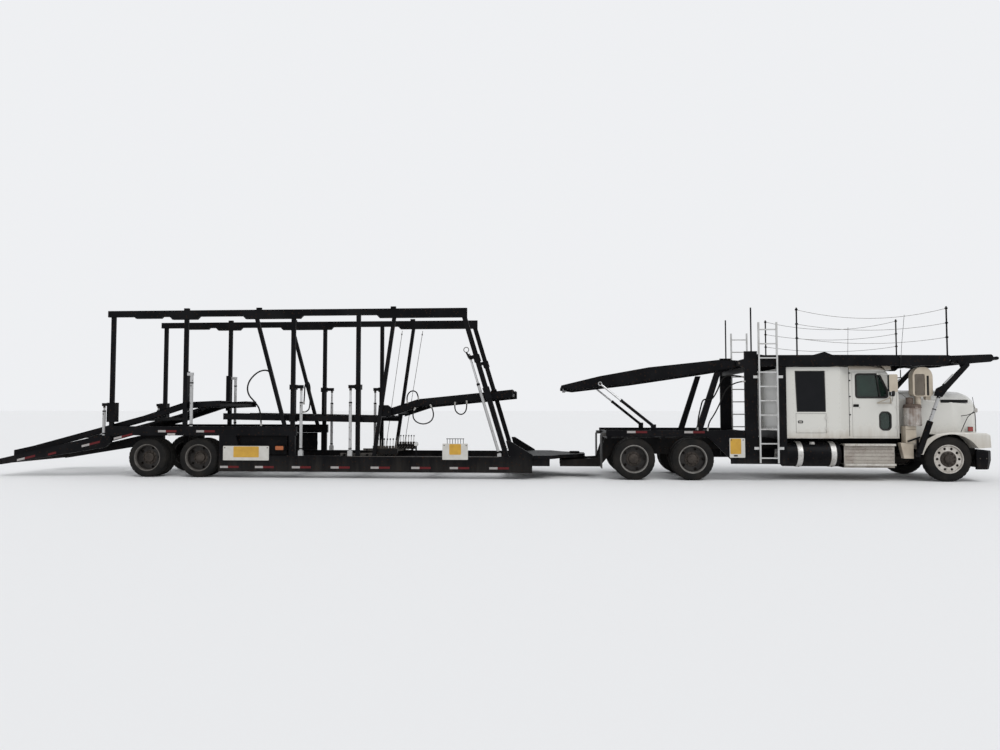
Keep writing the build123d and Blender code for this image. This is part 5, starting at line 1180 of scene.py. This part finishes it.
def hose(name, body, points, thick=HOSE_THICK):
    """Free hose along points in mm, with a swaged steel end on each of its ends."""
    curve = bpy.data.curves.new(name, "CURVE")
    curve.dimensions = "3D"
    curve.bevel_depth = thick / 2000
    curve.bevel_resolution = 3
    curve.resolution_u = 10
    curve.use_fill_caps = True
    spline = curve.splines.new("NURBS")
    spline.points.add(len(points) - 1)
    spots = [(x / 1000 + FRONT_AXLE, y / 1000, z / 1000) for x, y, z in points]
    for point, spot in zip(spline.points, spots):
        point.co = (*spot, 1)
    spline.order_u = 3
    spline.use_endpoint_u = True
    curve.materials.append(hose_rubber.material)
    line = bpy.data.objects.new(name, curve)
    scene.collection.objects.link(line)
    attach(line, body)
    spline_length(spots)
    ends = Form(name + "_ends")
    for tip, after in ((points[0], points[1]), (points[-1], points[-2])):
        start, run = Vector(tip), (Vector(after) - Vector(tip)).normalized()
        ends.tube([start - run * 4, start + run * 52], thick / 2 + 3, flange_steel, 12)
        ends.tube([start - run * 26, start + run * 6], thick / 2 + 7, flange_steel, 6)
    ends.done(body)


TRAILER_REAR = [(-15300, -1205, 2270), (-15310, -1210, 2420), (-15440, -1215, 2540),
                (-15680, -1215, 2480), (-15900, -1215, 2230), (-15900, -1215, 1960),
                (-15700, -1215, 1760), (-15570, -1215, 1560), (-15560, -1215, 1240)]
TRAILER_MIDDLE = [(-14546, -1205, 1540), (-14440, -1208, 1550), (-14395, -1210, 1690),
                  (-14395, -1210, 1980), (-14402, -1212, 2180), (-14462, -1214, 2262),
                  (-14522, -1216, 2180), (-14526, -1218, 1960), (-14538, -1218, 1740)]
TRUCK_FRONT = [(-4432, -1200, 2330), (-4620, -1200, 2370), (-4887, -1200, 2358),
               (-5026, -1200, 1995), (-5163, -1200, 1790), (-5340, -1200, 1850),
               (-5400, -1200, 1620), (-5460, -1202, 1360), (-5470, -1205, 1142)]
TRUCK_REAR = [(-4432, -1232, 2230), (-4640, -1234, 2210), (-4850, -1234, 2040), (-4960, -1234, 1760),
              (-5100, -1234, 1480), (-5230, -1235, 1300), (-5250, -1235, 1142)]
hose("trailer_hose_rear", "trailer", TRAILER_REAR)
hose("trailer_hose_middle", "trailer", TRAILER_MIDDLE, 30)
hose("truck_hose_front", "truck", TRUCK_FRONT, 32)
hose("truck_hose_rear", "truck", TRUCK_REAR, 30)
FRONT_DECK = {"upper": [(-12110, 1765), (-12130, 1880), (-12065, 2010), (-11960, 2040),
                        (-11870, 1980), (-11850, 1850)],
              "lower": [(-11930, 1620), (-11990, 1520), (-11950, 1330), (-11734, 1240),
                        (-11520, 1330), (-11480, 1540), (-11560, 1690)],
              "ahead": [(-10990, 1750), (-11010, 1600), (-10900, 1480), (-10790, 1490),
                        (-10710, 1610), (-10720, 1780)]}
for place, loop in FRONT_DECK.items():
    hose("front_deck_hose_" + place, "front_platform", [(x, -1118, z) for x, z in loop], 30)

# Two steel ropes run taut from the left upper rail down to the sill, with a clip at each end.
# A small shackle ring stands on a welded lug at each front carriage's head.
ropes = Form("stay_ropes")
for top, foot in (((-12710, 3690), (-13144, 520)), ((-12160, 3680), (-12661, 520))):
    ropes.tube([(foot[0], 1222, foot[1]), (top[0], 1222, top[1])], 7, wire_rope, 8)
    for share in (0.02, 0.97):
        x, z = foot[0] + (top[0] - foot[0]) * share, foot[1] + (top[1] - foot[1]) * share
        ropes.block((x - 14, x + 14), (1208, 1236), (z - 22, z + 22), hub_iron)
ropes.done("trailer")
rings = Form("carriage_rings")
ring = [(-10712 + x, 1283, 2972 + z) for z, x in circle(58, 20)]
rings.tube(ring + ring[:1], 9, hub_iron, 8)
rings.plate([(-10662, 2766), (-10612, 2780), (-10694, 2922), (-10730, 2912)], (1257, 1293), structure)
rings.both_sides()
rings.done("front_carriages")

# Seats, bunk and dash are dark vinyl and cloth over foam, bolted to the cab floor.
# Only their outline shows through the tinted glass.
WEAVE = (220, 2)
trim = filmed("cab_trim", (0.10, 0.095, 0.09), (0.18, 0.165, 0.15), (3, 4), (0.7, 0.2),
              WEAVE, WEAVE, sheen_weight=0.2)
dress(trim, "cab_interior")

# Mud flaps are black rubber sheet, scuffed and streaked with dried road dirt.
# They hang from their upper edge behind the wheels.
rubber = Finish("flap_rubber")
rubber_dust = rubber.noise(5, 5, (1, 1, 0.4))
dried_dirt = rubber.ramp(rubber_dust, 0.4, 0.8)
rubber.feed("Base Color", rubber.blend(dried_dirt, (0.02, 0.02, 0.02), (0.10, 0.09, 0.08)))
rubber.feed("Roughness", 0.65 + rubber_dust * 0.2)
rubber.relief(rubber.noise(30, 3), 0.002)
dress(rubber, "mud_flaps")
